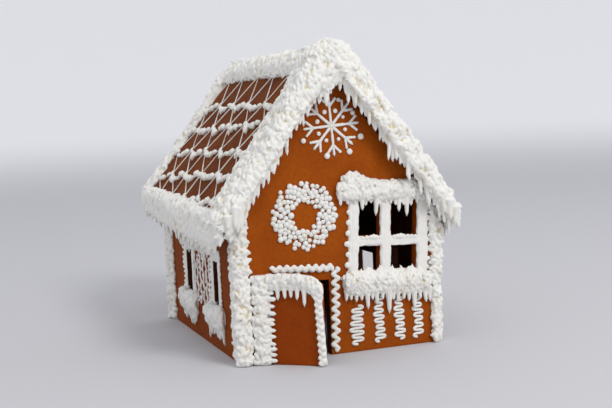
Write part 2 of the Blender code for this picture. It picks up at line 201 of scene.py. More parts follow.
# rows of rings, each joined to the next all the way round, with both ends closed to a point
def ringFaces(rings, sides):
    row, step = np.meshgrid(np.arange(rings - 1), np.arange(sides), indexing="ij")
    after = (step + 1) % sides
    below = (row + 1) * sides
    quads = np.stack([row * sides + step, below + step, below + after, row * sides + after], -1)
    edge = np.arange(sides)
    nextEdge = (edge + 1) % sides
    firstPole, lastPole, lastRow = rings * sides, rings * sides + 1, (rings - 1) * sides
    start = np.stack([np.full(sides, firstPole), edge, nextEdge], -1)
    end = np.stack([np.full(sides, lastPole), lastRow + nextEdge, lastRow + edge], -1)
    return quads.reshape(-1, 4), np.concatenate([start, end])


# A ring of points, `radii` wide and `flat` times as high, is carried along each path and closed
# to a point at both ends. `up` says which way is off the surface.
def sweep(paths, radii, up, sides=6, flat=1.0):
    count, stations = paths.shape[:2]
    along = unit(np.gradient(paths, axis=1))
    across = unit(np.cross(along, np.broadcast_to(up, paths.shape)))
    outward = np.cross(across, along)
    turn = np.arange(sides) * 2 * np.pi / sides
    spoke = np.cos(turn)[:, None] * across[:, 1:-1, None] + flat * np.sin(turn)[:, None] * outward[:, 1:-1, None]
    rings = paths[:, 1:-1, None] + radii[:, 1:-1, None, None] * spoke
    points = np.concatenate([rings.reshape(count, -1, 3), paths[:, :1], paths[:, -1:]], axis=1)
    lift = np.maximum(gap - points[..., 2].min(axis=1), 0.0)  # nothing hangs below the table
    points[..., 2] += lift[:, None]
    ringDepth = np.tile(0.5 - 0.5 * np.sin(turn), stations - 2)
    depth = np.tile(np.concatenate([ringDepth, (0.5, 0.5)]), count)
    quads, triangles = ringFaces(stations - 2, sides)
    shift = np.arange(count)[:, None, None] * points.shape[1]
    quads = (quads[None] + shift).reshape(-1, 4)
    triangles = (triangles[None] + shift).reshape(-1, 3)
    return shapeOf(points.reshape(-1, 3), quads, triangles, depth)


# a closed band from a grid of (rings, points round each ring, 3)
def band(rings):
    count, sides = rings.shape[:2]
    points = np.concatenate([rings.reshape(-1, 3), rings[:1].mean(1), rings[-1:].mean(1)])
    quads, triangles = ringFaces(count, sides)
    return shapeOf(points, quads, triangles, np.ones(len(points)))


# a closed outline with few corners becomes `count` evenly spaced points, rounded by averaging
def roundOff(outline, count, passes=2):
    corners = outline.shape[1]
    place = np.arange(count) * corners / count
    low = place.astype(int)
    share = (place - low)[:, None]
    fine = outline[:, low] * (1 - share) + outline[:, (low + 1) % corners] * share
    for _ in range(passes):
        fine = (np.roll(fine, 1, axis=1) + 2 * fine + np.roll(fine, -1, axis=1)) / 4
    return fine


# the way off a band's surface at each of its points
def bandOutward(rings):
    alongGrid = np.gradient(rings, axis=0)
    aroundGrid = np.roll(rings, -1, axis=1) - np.roll(rings, 1, axis=1)
    outward = unit(np.cross(alongGrid, aroundGrid))
    sense = (outward * (rings - rings.mean(axis=1, keepdims=True))).sum()
    return outward if sense > 0 else -outward


# a band with bumps of two sizes pushed out of its surface
def lumpy(rings, height, size, dice):
    bumps = lumps(rings, size, dice) + 0.5 * lumps(rings, size / 2.7, dice)
    return rings + bandOutward(rings) * (height * bumps)[..., None]


# points and outward directions at shares u along and v around a band
def pointOn(rings, u, v):
    count, sides = rings.shape[:2]
    outward = bandOutward(rings)
    a, b = u * (count - 1.001), (v % 1.0) * sides
    i, j = a.astype(int), b.astype(int) % sides
    p, q = (a - i)[:, None], (b - b.astype(int))[:, None]
    k = (j + 1) % sides

    def mix(grid):
        here, ahead = (grid[row, j] * (1 - q) + grid[row, k] * q for row in (i, i + 1))
        return here * (1 - p) + ahead * p

    return mix(rings), unit(mix(outward))


strokeStations = np.array((0.0, 0.22, 0.50, 0.78, 1.0))
strokeWidth = np.array((0.0, 0.95, 1.00, 0.62, 0.0))
strokeRise = np.array((-0.10, 0.35, 0.50, 0.25, -0.15))
icicleStations = np.array((0.0, 0.14, 0.32, 0.55, 0.80, 1.0))
icicleWidth = np.array((0.0, 1.15, 0.95, 0.70, 0.45, 0.0))
dotHeights = np.array((-0.30, 0.15, 0.60, 0.95, 1.15))
dotWidth = np.array((0.0, 1.00, 0.92, 0.52, 0.0))


# short tapering touches of the piping bag, fat where they start, lying on the icing below
def strokes(start, flow, outward, length, radius, sides=5):
    outward = np.broadcast_to(outward, start.shape)
    along = flow[:, None] * (length[:, None] * (strokeStations - 0.2))[..., None]
    rise = outward[:, None] * (radius[:, None] * strokeRise)[..., None]
    paths = start[:, None] + along + rise
    return sweep(paths, radius[:, None] * strokeWidth, outward[:, None], sides)


# strokes scattered over part of a band, each running down the surface with some spread
def drips(rings, count, dice, length, radius, around=(0.02, 0.62), spread=0.35, along=(0.01, 0.99), pull=(0, 0, -1.0)):
    u, v = dice.uniform(*along, count), dice.uniform(*around, count)
    start, outward = pointOn(rings, u, v)
    flow = np.array(pull) + dice.normal(0, spread, (count, 3))
    flow = unit(flow - outward * (flow * outward).sum(-1, keepdims=True))
    size = dice.uniform(0.65, 1.3, count)
    return strokes(start, flow, outward, length * size, radius * dice.uniform(0.75, 1.2, count))


# tapering spikes that hang straight down from their roots
def icicles(roots, length, radius, outward, dice, sides=6):
    sway = dice.normal(0, 0.05, (len(roots), 1, 3)) * np.array((1, 1, 0)) * length[:, None, None]
    fall = np.array((0, 0, -1.0)) * (length[:, None] * (icicleStations - 0.12))[..., None]
    paths = roots[:, None] + fall + sway * (icicleStations**2)[:, None]
    blunt = np.where(icicleStations == 0.80, 0.28 * mm, 0.0)  # enough left of a thin tip to melt into one piece
    return sweep(paths, radius[:, None] * icicleWidth + blunt, outward, sides)


# icicles under a band, spaced about `pitch` apart, with their roots on its lowest edge
def fringe(rings, pitch, lengths, radius, outward, dice, along=(0.01, 0.99)):
    run = np.linalg.norm(rings[-1].mean(0) - rings[0].mean(0)) * (along[1] - along[0])
    count = max(3, round(run / pitch))
    u = along[0] + (np.arange(count) + dice.uniform(0.15, 0.85, count)) / count * (along[1] - along[0])
    lowest = rings[..., 2].argmin(axis=1)
    v = np.interp(u, np.linspace(0, 1, len(rings)), lowest / rings.shape[1])
    roots, _ = pointOn(rings, u, v + dice.normal(0, 0.012, count))
    length = lengths[0] + (lengths[1] - lengths[0]) * dice.uniform(0, 1, count) ** 1.5
    wide = radius * dice.uniform(0.75, 1.1, count) * (0.75 + 0.5 * length / lengths[1])
    return icicles(roots, length, wide, outward, dice, 8)


# an outline for each ring, from pairs of values that hold for all rings or change from one to the next
def outlines(keys, count):
    return np.stack([np.stack(np.broadcast_arrays(*pair, np.zeros(count))[:2], -1) for pair in keys], axis=1)


# piped dots: round, a little peaked, standing off the surface
def dots(centres, outward, radius, up=(0.0, 0.0, 1.0), sides=8):
    outward = np.broadcast_to(outward, centres.shape)
    paths = centres[:, None] + outward[:, None] * (radius[:, None] * dotHeights * 0.75)[..., None]
    return sweep(paths, radius[:, None] * dotWidth, up, sides)


# dots on a flat surface that has a place function
def dotsOn(place, across, up, proud, radius, sides=8):
    return dots(place(across, up, proud), facingOf(place), radius, sides=sides)


# a path through a few points, eased at its corners, with `count` even steps
def eased(points, count):
    points = np.array(points, float)
    fine = np.linspace(0, 1, 200)
    reach = np.concatenate([[0], np.cumsum(np.linalg.norm(np.diff(points, axis=0), axis=1))])
    path = np.stack([np.interp(fine, reach / reach[-1], column) for column in points.T], -1)
    for _ in range(36):
        path[1:-1] = (path[:-2] + 2 * path[1:-1] + path[2:]) / 4
    return path[np.linspace(0, len(path) - 1, count).round().astype(int)]


# the rings of a band carried along a path, `radii` wide on its surface and `flat` times as high
def tubeRings(path, radii, outward, sides, flat):
    along = unit(np.gradient(path, axis=0))
    across = unit(np.cross(along, np.broadcast_to(outward, path.shape)))
    turn = np.arange(sides) * 2 * np.pi / sides
    rise = np.cross(across, along)
    spoke = np.cos(turn)[:, None] * across[:, None] + flat * np.sin(turn)[:, None] * rise[:, None]
    return path[:, None] + radii[:, None, None] * spoke


# one piped line of even or changing thickness along a path of points
def line(path, radius, outward, sides=8, flat=0.85):
    radii = np.broadcast_to(radius, len(path))
    return sweep(path[None], radii[None], outward, sides, flat)


# several shapes as one: the faces of each are shifted past the points of those before it
def joined(shapes):
    points, quads, triangles, depth = zip(*shapes)
    shift = np.cumsum([0] + [len(part) for part in points[:-1]])
    quads = [faces + past for faces, past in zip(quads, shift)]
    triangles = [faces + past for faces, past in zip(triangles, shift)]
    return [np.concatenate(parts) for parts in (points, quads, triangles, depth)]


def readFloats(collection, name, width):
    values = np.empty(len(collection) * width, np.float32)
    collection.foreach_get(name, values)
    return values.reshape(-1, width).astype(float)


# how far each point lies in a hollow, from 0 to 1: its distance below the average of what is round it
def hollowDepth(mesh, rounds=7, full=0.22 * mm):
    points, normals = readFloats(mesh.vertices, "co", 3), readFloats(mesh.vertices, "normal", 3)
    edges = np.empty(len(mesh.edges) * 2, np.int32)
    mesh.edges.foreach_get("vertices", edges)
    near = edges.reshape(-1, 2)
    near = np.concatenate([near, near[:, ::-1]])
    neighbours = np.bincount(near[:, 0], minlength=len(points))[:, None]
    soft = points
    for _ in range(rounds):
        total = [np.bincount(near[:, 0], soft[near[:, 1], axis], len(points)) for axis in range(3)]
        soft = np.stack(total, -1) / neighbours
    return np.clip(((soft - points) * normals).sum(-1) / full, 0.0, 1.0)


melt = {"soften": 0.5, "rounds": 2, "kept": 0.58}


# the shapes of a piece run together into one skin of small cells, smoothed a little and thinned out
def meltTogether(piece, cell):
    merge = piece.modifiers.new("merge", "REMESH")
    merge.mode = "VOXEL"
    merge.voxel_size = cell
    merge.use_smooth_shade = True
    soften = piece.modifiers.new("soften", "SMOOTH")
    soften.factor = melt["soften"]
    soften.iterations = melt["rounds"]
    thin = piece.modifiers.new("thin", "DECIMATE")
    thin.ratio = melt["kept"]
    mesh = bpy.data.meshes.new_from_object(piece.evaluated_get(bpy.context.evaluated_depsgraph_get()))
    piece.modifiers.clear()
    rough = piece.data
    piece.data = mesh
    bpy.data.meshes.remove(rough)
    mesh.name = piece.name
    return mesh


# puts the shapes into one mesh, at the house's place; with a cell size they melt together
def icingPiece(name, shapes, material, *replaced, cell=0.0):
    points, quads, triangles, depth = joined(shapes)
    mesh = bpy.data.meshes.new(name)
    corners = np.concatenate([quads.ravel(), triangles.ravel()]).astype(np.int32)
    starts = np.concatenate([np.arange(len(quads)) * 4, len(quads) * 4 + np.arange(len(triangles)) * 3])
    mesh.vertices.add(len(points))
    mesh.vertices.foreach_set("co", (points + houseOrigin).astype(np.float32).ravel())
    mesh.loops.add(len(corners))
    mesh.loops.foreach_set("vertex_index", corners)
    mesh.polygons.add(len(starts))
    mesh.polygons.foreach_set("loop_start", starts.astype(np.int32))
    mesh.update(calc_edges=True)
    mesh.polygons.foreach_set("use_smooth", np.ones(len(starts), bool))
    mesh.materials.append(material)
    piece = bpy.data.objects.new(name, mesh)
    bpy.context.scene.collection.objects.link(piece)
    if cell:
        mesh = meltTogether(piece, cell)
        depth = hollowDepth(mesh)
    # this depth drives the painted shade in the icing's hollows
    mesh.attributes.new("icingDepth", "FLOAT", "POINT").data.foreach_set("value", depth.astype(np.float32))
    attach(piece, "root")
    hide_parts(*replaced)


print("stage 3: materials")


def newMaterial(name):
    material = bpy.data.materials.new(name)
    material.use_nodes = True
    return material, material.node_tree, material.node_tree.nodes["Principled BSDF"]


def newNode(tree, kind, **settings):
    node = tree.nodes.new(kind)
    for key, value in settings.items():
        setattr(node, key, value)
    return node


def noise(tree, vector, scale, detail, roughness=0.5):
    node = newNode(tree, "ShaderNodeTexNoise")
    node.inputs["Detail"].default_value = detail
    node.inputs["Roughness"].default_value = roughness
    tree.links.new(vector, node.inputs["Vector"])
    if isinstance(scale, (int, float)):
        node.inputs["Scale"].default_value = scale
    else:
        tree.links.new(scale, node.inputs["Scale"])
    return node.outputs["Fac"]


# a value carried from one range to another
def ranged(tree, value, low, high, newLow, newHigh):
    node = newNode(tree, "ShaderNodeMapRange", interpolation_type="SMOOTHSTEP")
    tree.links.new(value, node.inputs["Value"])
    for socket, number in (("From Min", low), ("From Max", high), ("To Min", newLow), ("To Max", newHigh)):
        node.inputs[socket].default_value = number
    return node.outputs["Result"]


# one colour shading into another; a factor or colour may be a socket or a plain value
def mixed(tree, factor, first, second):
    node = newNode(tree, "ShaderNodeMix", data_type="RGBA")
    for place, value in ((0, factor), (6, first), (7, second)):
        if isinstance(value, (int, float, tuple)):
            node.inputs[place].default_value = value
        else:
            tree.links.new(value, node.inputs[place])
    return node.outputs[2]


def maths(tree, operation, first, second):
    node = newNode(tree, "ShaderNodeMath", operation=operation)
    tree.links.new(first, node.inputs[0])
    tree.links.new(second, node.inputs[1])
    return node.outputs[0]


groupResults = (("Color", "NodeSocketColor"), ("Height", "NodeSocketFloat"), ("Roughness", "NodeSocketFloat"))


def newGroup(name, inputs):
    tree = bpy.data.node_groups.new(name, "ShaderNodeTree")
    for socketName, kind, value in inputs:
        socket = tree.interface.new_socket(name=socketName, in_out="INPUT", socket_type=kind)
        if value is not None:
            socket.default_value = value
    for socketName, kind in groupResults:
        tree.interface.new_socket(name=socketName, in_out="OUTPUT", socket_type=kind)
    return tree, newNode(tree, "NodeGroupInput"), newNode(tree, "NodeGroupOutput")


def placeGroup(tree, group, **values):
    node = newNode(tree, "ShaderNodeGroup", node_tree=group)
    coordinates = newNode(tree, "ShaderNodeTexCoord")
    tree.links.new(coordinates.outputs["Object"], node.inputs["Vector"])
    for socket, value in values.items():
        node.inputs[socket].default_value = value
    return node


# baked dough: slow changes of browning, a fine grain, dark spice specks and small pores
def crumbGroup():
    tree, given, result = newGroup(
        "crumb",
        (("Vector", "NodeSocketVector", None), ("Baked", "NodeSocketColor", (0.3, 0.1, 0.02, 1)),
         ("Dark", "NodeSocketColor", (0.1, 0.03, 0.01, 1)), ("Grain", "NodeSocketFloat", 420.0)),
    )
    vector = given.outputs["Vector"]
    browning = ranged(tree, noise(tree, vector, 26.0, 3.0, 0.55), 0.30, 0.72, 0.0, 0.62)
    grain = noise(tree, vector, given.outputs["Grain"], 4.0, 0.6)
    grainShade = ranged(tree, grain, 0.30, 0.70, 0.0, 0.40)
    specks = ranged(tree, noise(tree, vector, 900.0, 2.0), 0.66, 0.76, 0.0, 0.55)
    colour = mixed(tree, browning, given.outputs["Baked"], given.outputs["Dark"])
    colour = mixed(tree, grainShade, colour, given.outputs["Dark"])
    colour = mixed(tree, specks, colour, (0.040, 0.012, 0.004, 1.0))
    pores = ranged(tree, noise(tree, vector, 260.0, 2.0), 0.62, 0.74, 0.0, 1.0)
    height = maths(tree, "SUBTRACT", grain, pores)
    tree.links.new(colour, result.inputs["Color"])
    tree.links.new(height, result.inputs["Height"])
    tree.links.new(ranged(tree, grain, 0.3, 0.7, 0.62, 0.80), result.inputs["Roughness"])
    return tree


# dried icing: white, with a darker cream colour in patches where it lies deep (painted shade in the crevices, warmed by
# the icing's own tone), and a faint matt grain
def sugarGroup():
    tree, given, result = newGroup(
        "sugar",
        (("Vector", "NodeSocketVector", None), ("White", "NodeSocketColor", (0.8, 0.8, 0.8, 1)),
         ("Cream", "NodeSocketColor", (0.7, 0.6, 0.4, 1)), ("Depth", "NodeSocketFloat", 0.0)),
    )
    vector = given.outputs["Vector"]
    patches = ranged(tree, noise(tree, vector, 120.0, 2.0), 0.50, 0.68, 0.0, 1.0)
    hollowShadeMix = maths(tree, "MULTIPLY", patches, given.outputs["Depth"])
    cloud = ranged(tree, noise(tree, vector, 60.0, 3.0), 0.3, 0.7, 0.0, 0.25)
    colour = mixed(tree, cloud, given.outputs["White"], (0.70, 0.70, 0.68, 1.0))
    colour = mixed(tree, hollowShadeMix, colour, given.outputs["Cream"])
    grain = noise(tree, vector, 1400.0, 3.0, 0.6)
    tree.links.new(colour, result.inputs["Color"])
    tree.links.new(grain, result.inputs["Height"])
    tree.links.new(ranged(tree, grain, 0.3, 0.7, 0.45, 0.62), result.inputs["Roughness"])
    return tree


# a group's colour, roughness and height go into the shader
def finishWith(tree, shader, group, strength, distance):
    bump = newNode(tree, "ShaderNodeBump")
    bump.inputs["Strength"].default_value = strength
    bump.inputs["Distance"].default_value = distance
    tree.links.new(group.outputs["Color"], shader.inputs["Base Color"])
    tree.links.new(group.outputs["Roughness"], shader.inputs["Roughness"])
    tree.links.new(group.outputs["Height"], bump.inputs["Height"])
    tree.links.new(bump.outputs["Normal"], shader.inputs["Normal"])


crustFinishes = {  # baked colour, darker colour, grain
    # the side walls' crust is darker than the front's: painted shade on the walls that face away from the light
    "paintedShadeSideCrust": ((0.265, 0.054, 0.0020, 1), (0.170, 0.029, 0.0016, 1), 420.0),
    "wallCrust": ((0.370, 0.080, 0.0030, 1), (0.245, 0.044, 0.0022, 1), 420.0),
    "roofCrust": ((0.205, 0.048, 0.0016, 1), (0.105, 0.020, 0.0012, 1), 380.0),
    "doorCrust": ((0.290, 0.050, 0.0022, 1), (0.200, 0.031, 0.0018, 1), 420.0),
    # near-black crust for the inner faces and the reveals: painted shade for the unlit inside
    "paintedShadeCrust": ((0.070, 0.020, 0.0050, 1), (0.035, 0.010, 0.0030, 1), 420.0),
}
crumb = crumbGroup()
sugar = sugarGroup()


def crustMaterial(name):
    baked, dark, grain = crustFinishes[name]
    material, tree, shader = newMaterial(name)
    group = placeGroup(tree, crumb, Baked=baked, Dark=dark, Grain=grain)
    shader.inputs["Specular IOR Level"].default_value = 0.08
    finishWith(tree, shader, group, 0.35, 0.35 * mm)
    return material


def icingMaterial(name, white, hollowShade, specular):
    material, tree, shader = newMaterial(name)
    group = placeGroup(tree, sugar, White=white, Cream=hollowShade)
    # the depth in the icing mixes in the darker cream colour: painted shade in the hollows
    depth = newNode(tree, "ShaderNodeAttribute", attribute_name="icingDepth")
    tree.links.new(depth.outputs["Fac"], group.inputs["Depth"])
    shader.inputs["Specular IOR Level"].default_value = specular
    shader.inputs["Subsurface Weight"].default_value = 0.35
    shader.inputs["Subsurface Radius"].default_value = (1.0, 0.92, 0.75)
    shader.inputs["Subsurface Scale"].default_value = 1.1 * mm
    finishWith(tree, shader, group, 0.15, 0.15 * mm)
    return material


icingWhite = (0.83, 0.82, 0.775, 1)
# the second colour is the painted shade of the hollows, a darker warm cream
heapIcing = icingMaterial("heapIcing", icingWhite, (0.68, 0.57, 0.34, 1), 0.30)
pipedIcing = icingMaterial("pipedIcing", icingWhite, (0.76, 0.70, 0.55, 1), 0.35)

print("stage 4: gingerbread panels")

panels = {  # name, crust, slot, and which way the panel's inner face looks
    "wall_front": ("frontWall", "wallCrust", "gingerbread_wall", (0, 1, 0)),
    "wall_back": ("backWall", "wallCrust", "gingerbread_wall", (0, -1, 0)),
    "wall_left": ("leftWall", "paintedShadeSideCrust", "gingerbread_wall", (1, 0, 0)),
    "wall_right": ("rightWall", "paintedShadeSideCrust", "gingerbread_wall", (-1, 0, 0)),
    "roof_left": ("leftRoof", "roofCrust", "gingerbread_roof", (0.6, 0, -0.8)),
    "roof_right": ("rightRoof", "roofCrust", "gingerbread_roof", (-0.6, 0, -0.8)),
    "door_leaf": ("doorLeaf", "doorCrust", "gingerbread_door", (0, 0, 0)),
}
bakedEdge = 0.8 * mm
# between these places lie the sides of the doorway, and of the side walls' windows, which are painted in shade
doorway = {"x": (10.0 * mm, 66.0 * mm), "z": (1.0 * mm, 60.0 * mm)}
sideOpenings = {"fromCorner": 15.0 * mm, "z": (15.0 * mm, 80.0 * mm)}


# inner faces, and the sides of the doorway and of the small windows: the faces that take painted shade
def paintedShadeFace(node, face, innerWay):
    if face.normal.dot(Vector(innerWay)) > 0.9:
        return True
    x, y, z = face.calc_center_median() - Vector(houseOrigin)
    if node == "wall_front":
        (left, right), (bottom, top) = doorway["x"], doorway["z"]
        return abs(face.normal.y) < 0.5 and left < x < right and bottom < z < top
    if node not in ("wall_left", "wall_right") or abs(face.normal.x) > 0.5:
        return False
    bottom, top = sideOpenings["z"]
    return sideOpenings["fromCorner"] < y < wallDepth - sideOpenings["fromCorner"] and bottom < z < top


# a merged copy of the frame's panel, its flat faces made whole, with soft baked edges
def bakedPanel(node, name, crust, slotName, innerWay):
    builder = bmesh.new()
    builder.from_mesh(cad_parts[node].data)
    bmesh.ops.remove_doubles(builder, verts=builder.verts, dist=0.005 * mm)
    bmesh.ops.dissolve_limit(builder, angle_limit=math.radians(0.2), verts=builder.verts, edges=builder.edges)
    builder.normal_update()
    # inner faces and reveals take the second, near-black crust: painted shade
    for face in builder.faces:
        face.material_index = int(paintedShadeFace(node, face, innerWay))
    mesh = bpy.data.meshes.new(name)
    builder.to_mesh(mesh)
    builder.free()
    for crustName in (crust, "paintedShadeCrust"):
        mesh.materials.append(crusts[crustName])
    piece = bpy.data.objects.new(name, mesh)
    bpy.context.scene.collection.objects.link(piece)
    soften = piece.modifiers.new("bakedEdge", "BEVEL")
    soften.width = bakedEdge
    soften.segments = 3
    soften.limit_method = "ANGLE"
    soften.angle_limit = math.radians(30)
    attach(piece, "root")
    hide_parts(node)


crusts = {name: crustMaterial(name) for name in crustFinishes}
for panelNode, settings in panels.items():
    bakedPanel(panelNode, *settings)

print("stage 5: icing over the roof's edges")

frontVerge = {
    "cover": 27.0 * mm, "belly": 4.0 * mm, "height": 7.0 * mm, "reach": 4.5 * mm,
    "strokes": 1150, "strokeLength": 5.5 * mm, "strokeRadius": 1.35 * mm,
    "pitch": 2.5 * mm, "hang": (6.0 * mm, 19.0 * mm), "hangRadius": 1.75 * mm, "cell": 0.45 * mm,
    # heavy drops under the front apex: across from the ridge, root's height below it, length, radius
    "apexHang": (
        (-19, 28, 13, 2.2), (-15, 20, 16, 2.5), (-11.5, 17, 12, 2.8), (-8, 14, 11, 3.2), (-4.5, 12, 13, 3.2),
        (-1, 11, 13, 3.4), (2.2, 12, 12, 3.2), (5, 13, 9, 2.6), (11, 18, 9, 2.2), (16, 25, 12, 2.0),
        (25, 37, 14, 1.9), (39, 55, 21, 1.9), (43, 61, 14, 2.0), (-24, 36, 12, 2.0), (-33, 49, 15, 1.9),
        (-45, 65, 11, 1.9), (-57, 81, 12, 1.9),
    ),
    # how far the icing hangs below the panel, at shares of the way down
    "lip": {"left": ((0, 0.06, 0.14, 0.3, 0.75, 1), (7.0, 6.0, -0.5, -3.4, -3.0, 0.5)),
            "right": ((0, 0.15, 0.5, 0.62, 0.8, 1), (-5.0, -5.0, -2.5, -1.5, -3.0, 0.0))},
    "taller": {"left": 0.0, "right": 4.5 * mm},  # half-way down
    "cornerHang": {  # at the eave: inward from the edge, along the eave, root above the edge, length, radius
        "left": (
            (2, -4, 1, 7, 2.8), (6, -5, 0, 9, 2.6), (10, -5, 1, 10, 2.8), (-1, -2, 0, 5, 2.6), (5, 3, -1, 3, 3.0),
            (0, 5, 0, 4, 2.6), (13, -4, 3, 11, 3.0), (8, -1, 0, 4, 2.8), (3, -7, 3, 8, 2.6), (8, -8, 4, 10, 2.4),
        ),
        "right": (
            (1, -5, 0, 15, 3.2), (-2, -1, -1, 17, 3.2), (5, -5, 1, 12, 3.2), (-1, 5, -1, 16, 3.2),
            (2, 10, -1, 13, 3.0), (9, -4, 3, 9, 2.8),
        ),
    },
}
backVerge = dict(
    frontVerge, taller={"left": 0.0, "right": 0.0}, cover=10.0 * mm, belly=1.5 * mm, height=4.2 * mm, strokes=700,
    hang=(2.0 * mm, 9.0 * mm), strokeRadius=1.25 * mm, hangRadius=1.4 * mm, cell=0.6 * mm,
)


# over the panel's edge: up its slope, round its end face and under it, as (outward, above)
def vergeOutline(cover, height, reach, lip):
    keys = (
        (-cover, -0.3 * mm), (-0.85 * cover, 0.70 * height), (-0.55 * cover, 0.95 * height), (-0.20 * cover, height),
        (0.45 * reach, 0.82 * height), (0.95 * reach, 0.25 * height), (reach, -0.5 * roofThick),
        (0.9 * reach, -roofThick - 0.6 * lip), (0.3 * reach, -roofThick - lip),
        (-0.6 * mm, -roofThick - 0.3 * lip), (-0.8 * mm, -0.5 * mm),
    )
    return outlines(keys, len(height))


# low where the two slopes meet, fattest a little further down, thin at the eave
def vergeHeight(height, down, share):
    shoulder = 0.50 + 0.50 * np.minimum(1.0, down / (16 * mm))
    swell = 0.45 * np.exp(-(((down - 22 * mm) / (25 * mm)) ** 2))
    return height * (1.0 + swell - 0.35 * share) * shoulder


# thick icicles that run together over the open corner between the verge, the eave and the column
def cornerMass(side, front, settings, dice):
    inward, alongEave, above, length, radius = np.array(settings["cornerHang"][side]).T * mm
    toward = -sideSign[side]
    edge, inside = (frontEdge, 1.0) if front else (backEdge, -1.0)
    corner = eaveFrontZ[side] if front else eaveBackZ[side]
    roots = np.stack([eaveX[side] + toward * inward, edge + inside * alongEave, corner + above + 0.9 * inward], -1)
    return icicles(roots, length + 0.9 * inward, radius, (-toward, -inside, 0.0), dice, 10)


# drops where the two slopes meet, shared between the two verges by the side they are on
def apexMass(side, front, settings, dice):
    across, below, length, radius = np.array(settings["apexHang"]).T * mm
    across = across if front else -across
    mine = (across < 2.5 * mm) if side == "left" else (across > -2.5 * mm)
    y = frontEdge - 1.5 * mm if front else backEdge + 1.5 * mm
    roots = np.stack([ridgeX + across, np.full(len(across), y), ridgeZ - below], -1)[mine]
    return icicles(roots, length[mine], radius[mine], (0.0, -1.0, 0.0), dice, 10)


def vergePiece(side, end, settings):
    name = "icingVerge" + end.capitalize() + side.capitalize()
    dice = diceFor(name)
    front = end == "front"
    edge, outward = (frontEdge, -1.0) if front else (backEdge, 1.0)
    share = np.linspace(0.0, 1.0, 150)
    length = slopeLength(side, edge) + 3 * mm
    height = vergeHeight(settings["height"], share * length, share)
    height = height + settings["taller"][side] * np.sin(np.pi * np.clip(share * 1.08, 0, 1)) ** 0.7
    lip = np.interp(share, *settings["lip"][side]) * mm
    cover = settings["cover"] + settings["belly"] * np.sin(np.pi * share)
    outline = roundOff(vergeOutline(cover, height, settings["reach"], lip), 30)
    out, above = outline[..., 0], outline[..., 1]
    start = mitre(side, above) - 2.2 * mm
    y = edge + outward * out
    rings = onRoof(side, start + (length - start) * share[:, None], y, above)
    rings = lumpy(rings, 0.8 * mm, 13 * mm, dice)
    pull = (0, 0.25 * outward, -1.0)
    count, size, radius = settings["strokes"], settings["strokeLength"], settings["strokeRadius"]
    shapes = [
        band(rings),
        cornerMass(side, front, settings, dice),
        apexMass(side, front, settings, dice),
        drips(rings, count, dice, size, radius, (0.04, 0.80), pull=pull),
        drips(rings, count // 6, dice, size, radius, (-0.02, 0.04), pull=pull),
        drips(rings, count // 5, dice, 1.4 * size, 1.1 * radius, (0.60, 0.76), 0.12),
        fringe(rings, settings["pitch"], settings["hang"], settings["hangRadius"], (0.0, outward, 0.0), dice,
               (0.03, 0.99)),
    ]
    icingPiece(name, shapes, heapIcing, "icing_verge_" + end + "_" + side, cell=settings["cell"])


eave = {
    "overrun": 4.5 * mm, "strokes": 1500, "strokeLength": 6.0 * mm, "strokeRadius": 1.3 * mm,
    "pitch": 2.3 * mm, "hang": (4.0 * mm, 12.0 * mm), "hangRadius": 1.5 * mm, "cell": 0.55 * mm,
    # the skirt's outline beyond the panel's edge, and above its face
    "outline": (
        (-6.5, -0.3), (-6, 2.3), (-2, 3.6), (1.5, 3.6), (6, 1.5), (11, -2.5), (14.5, -6), (13, -8.5), (9, -8),
        (5, -7), (0, -6.5), (-0.7, -3),
    ),
    # the outline's size at places along the eave
    "hangAt": (
        (-30, -22, -5, 2, 8, 20, 60, 100, 146, 200, 214),
        (0.60, 0.45, 0.45, 0.85, 0.90, 0.84, 0.95, 0.92, 0.87, 0.70, 0.50),
    ),
    # the heavy icicles near the front: place along the eave, length, radius
    "heavyRoot": 7.0 * mm,  # above the skirt's lowest point
    "heavy": ((36, 2, 2.2), (30, 4, 2.4), (25, 3, 2.6), (19, 2, 3.0), (12, 1, 3.0), (6, 2, 3.0), (1, 4, 2.4)),
}


# a skirt round the panel's lower edge from end to end, hanging well below it
def eavePiece(side):
    name = "icingEave" + side.capitalize()
    dice = diceFor(name)
    y = np.linspace(frontEdge - eave["overrun"], backEdge + eave["overrun"], 170)
    pinch = 0.75 + 0.25 * np.clip(np.minimum(y - y[0], y[-1] - y) / (4 * mm), 0.0, 1.0) ** 0.5
    hang = np.interp(y / mm, *eave["hangAt"]) * pinch
    outline = roundOff(outlines(eave["outline"], len(y)) * mm * hang[:, None, None], 32)
    rings = onRoof(side, slopeLength(side, y)[:, None] + outline[..., 0], y[:, None], outline[..., 1])
    rings = lumpy(rings, 0.7 * mm, 12 * mm, dice)
    toward = sideSign[side]
    facing = (toward, 0.0, 0.0)
    count, size, radius = eave["strokes"], eave["strokeLength"], eave["strokeRadius"]
    heavyAt, heavyLength, heavyRadius = np.array(eave["heavy"]).T * mm
    rootZ = np.interp(heavyAt, y, rings[..., 2].min(axis=1)) + eave["heavyRoot"]
    roots = np.stack([np.full(len(heavyAt), eaveX[side] + toward * 3.5 * mm), heavyAt, rootZ], -1)
    shapes = [
        band(rings),
        drips(rings, count, dice, size, radius, (0.02, 0.70), 0.22),
        drips(rings, count // 4, dice, 1.2 * size, radius, (0.42, 0.64), 0.12),
        fringe(rings, eave["pitch"], eave["hang"], eave["hangRadius"], facing, dice),
        icicles(roots, heavyLength + eave["heavyRoot"], heavyRadius, facing, dice, 10),
    ]
    icingPiece(name, shapes, heapIcing, "icing_eave_" + side, cell=eave["cell"])


ridge = {
    "cover": 15.0 * mm, "height": 5.2 * mm, "strokes": 900, "hemStrokes": 170, "strokeLength": 5.5 * mm,
    "strokeRadius": 1.3 * mm, "cell": 0.6 * mm,
}


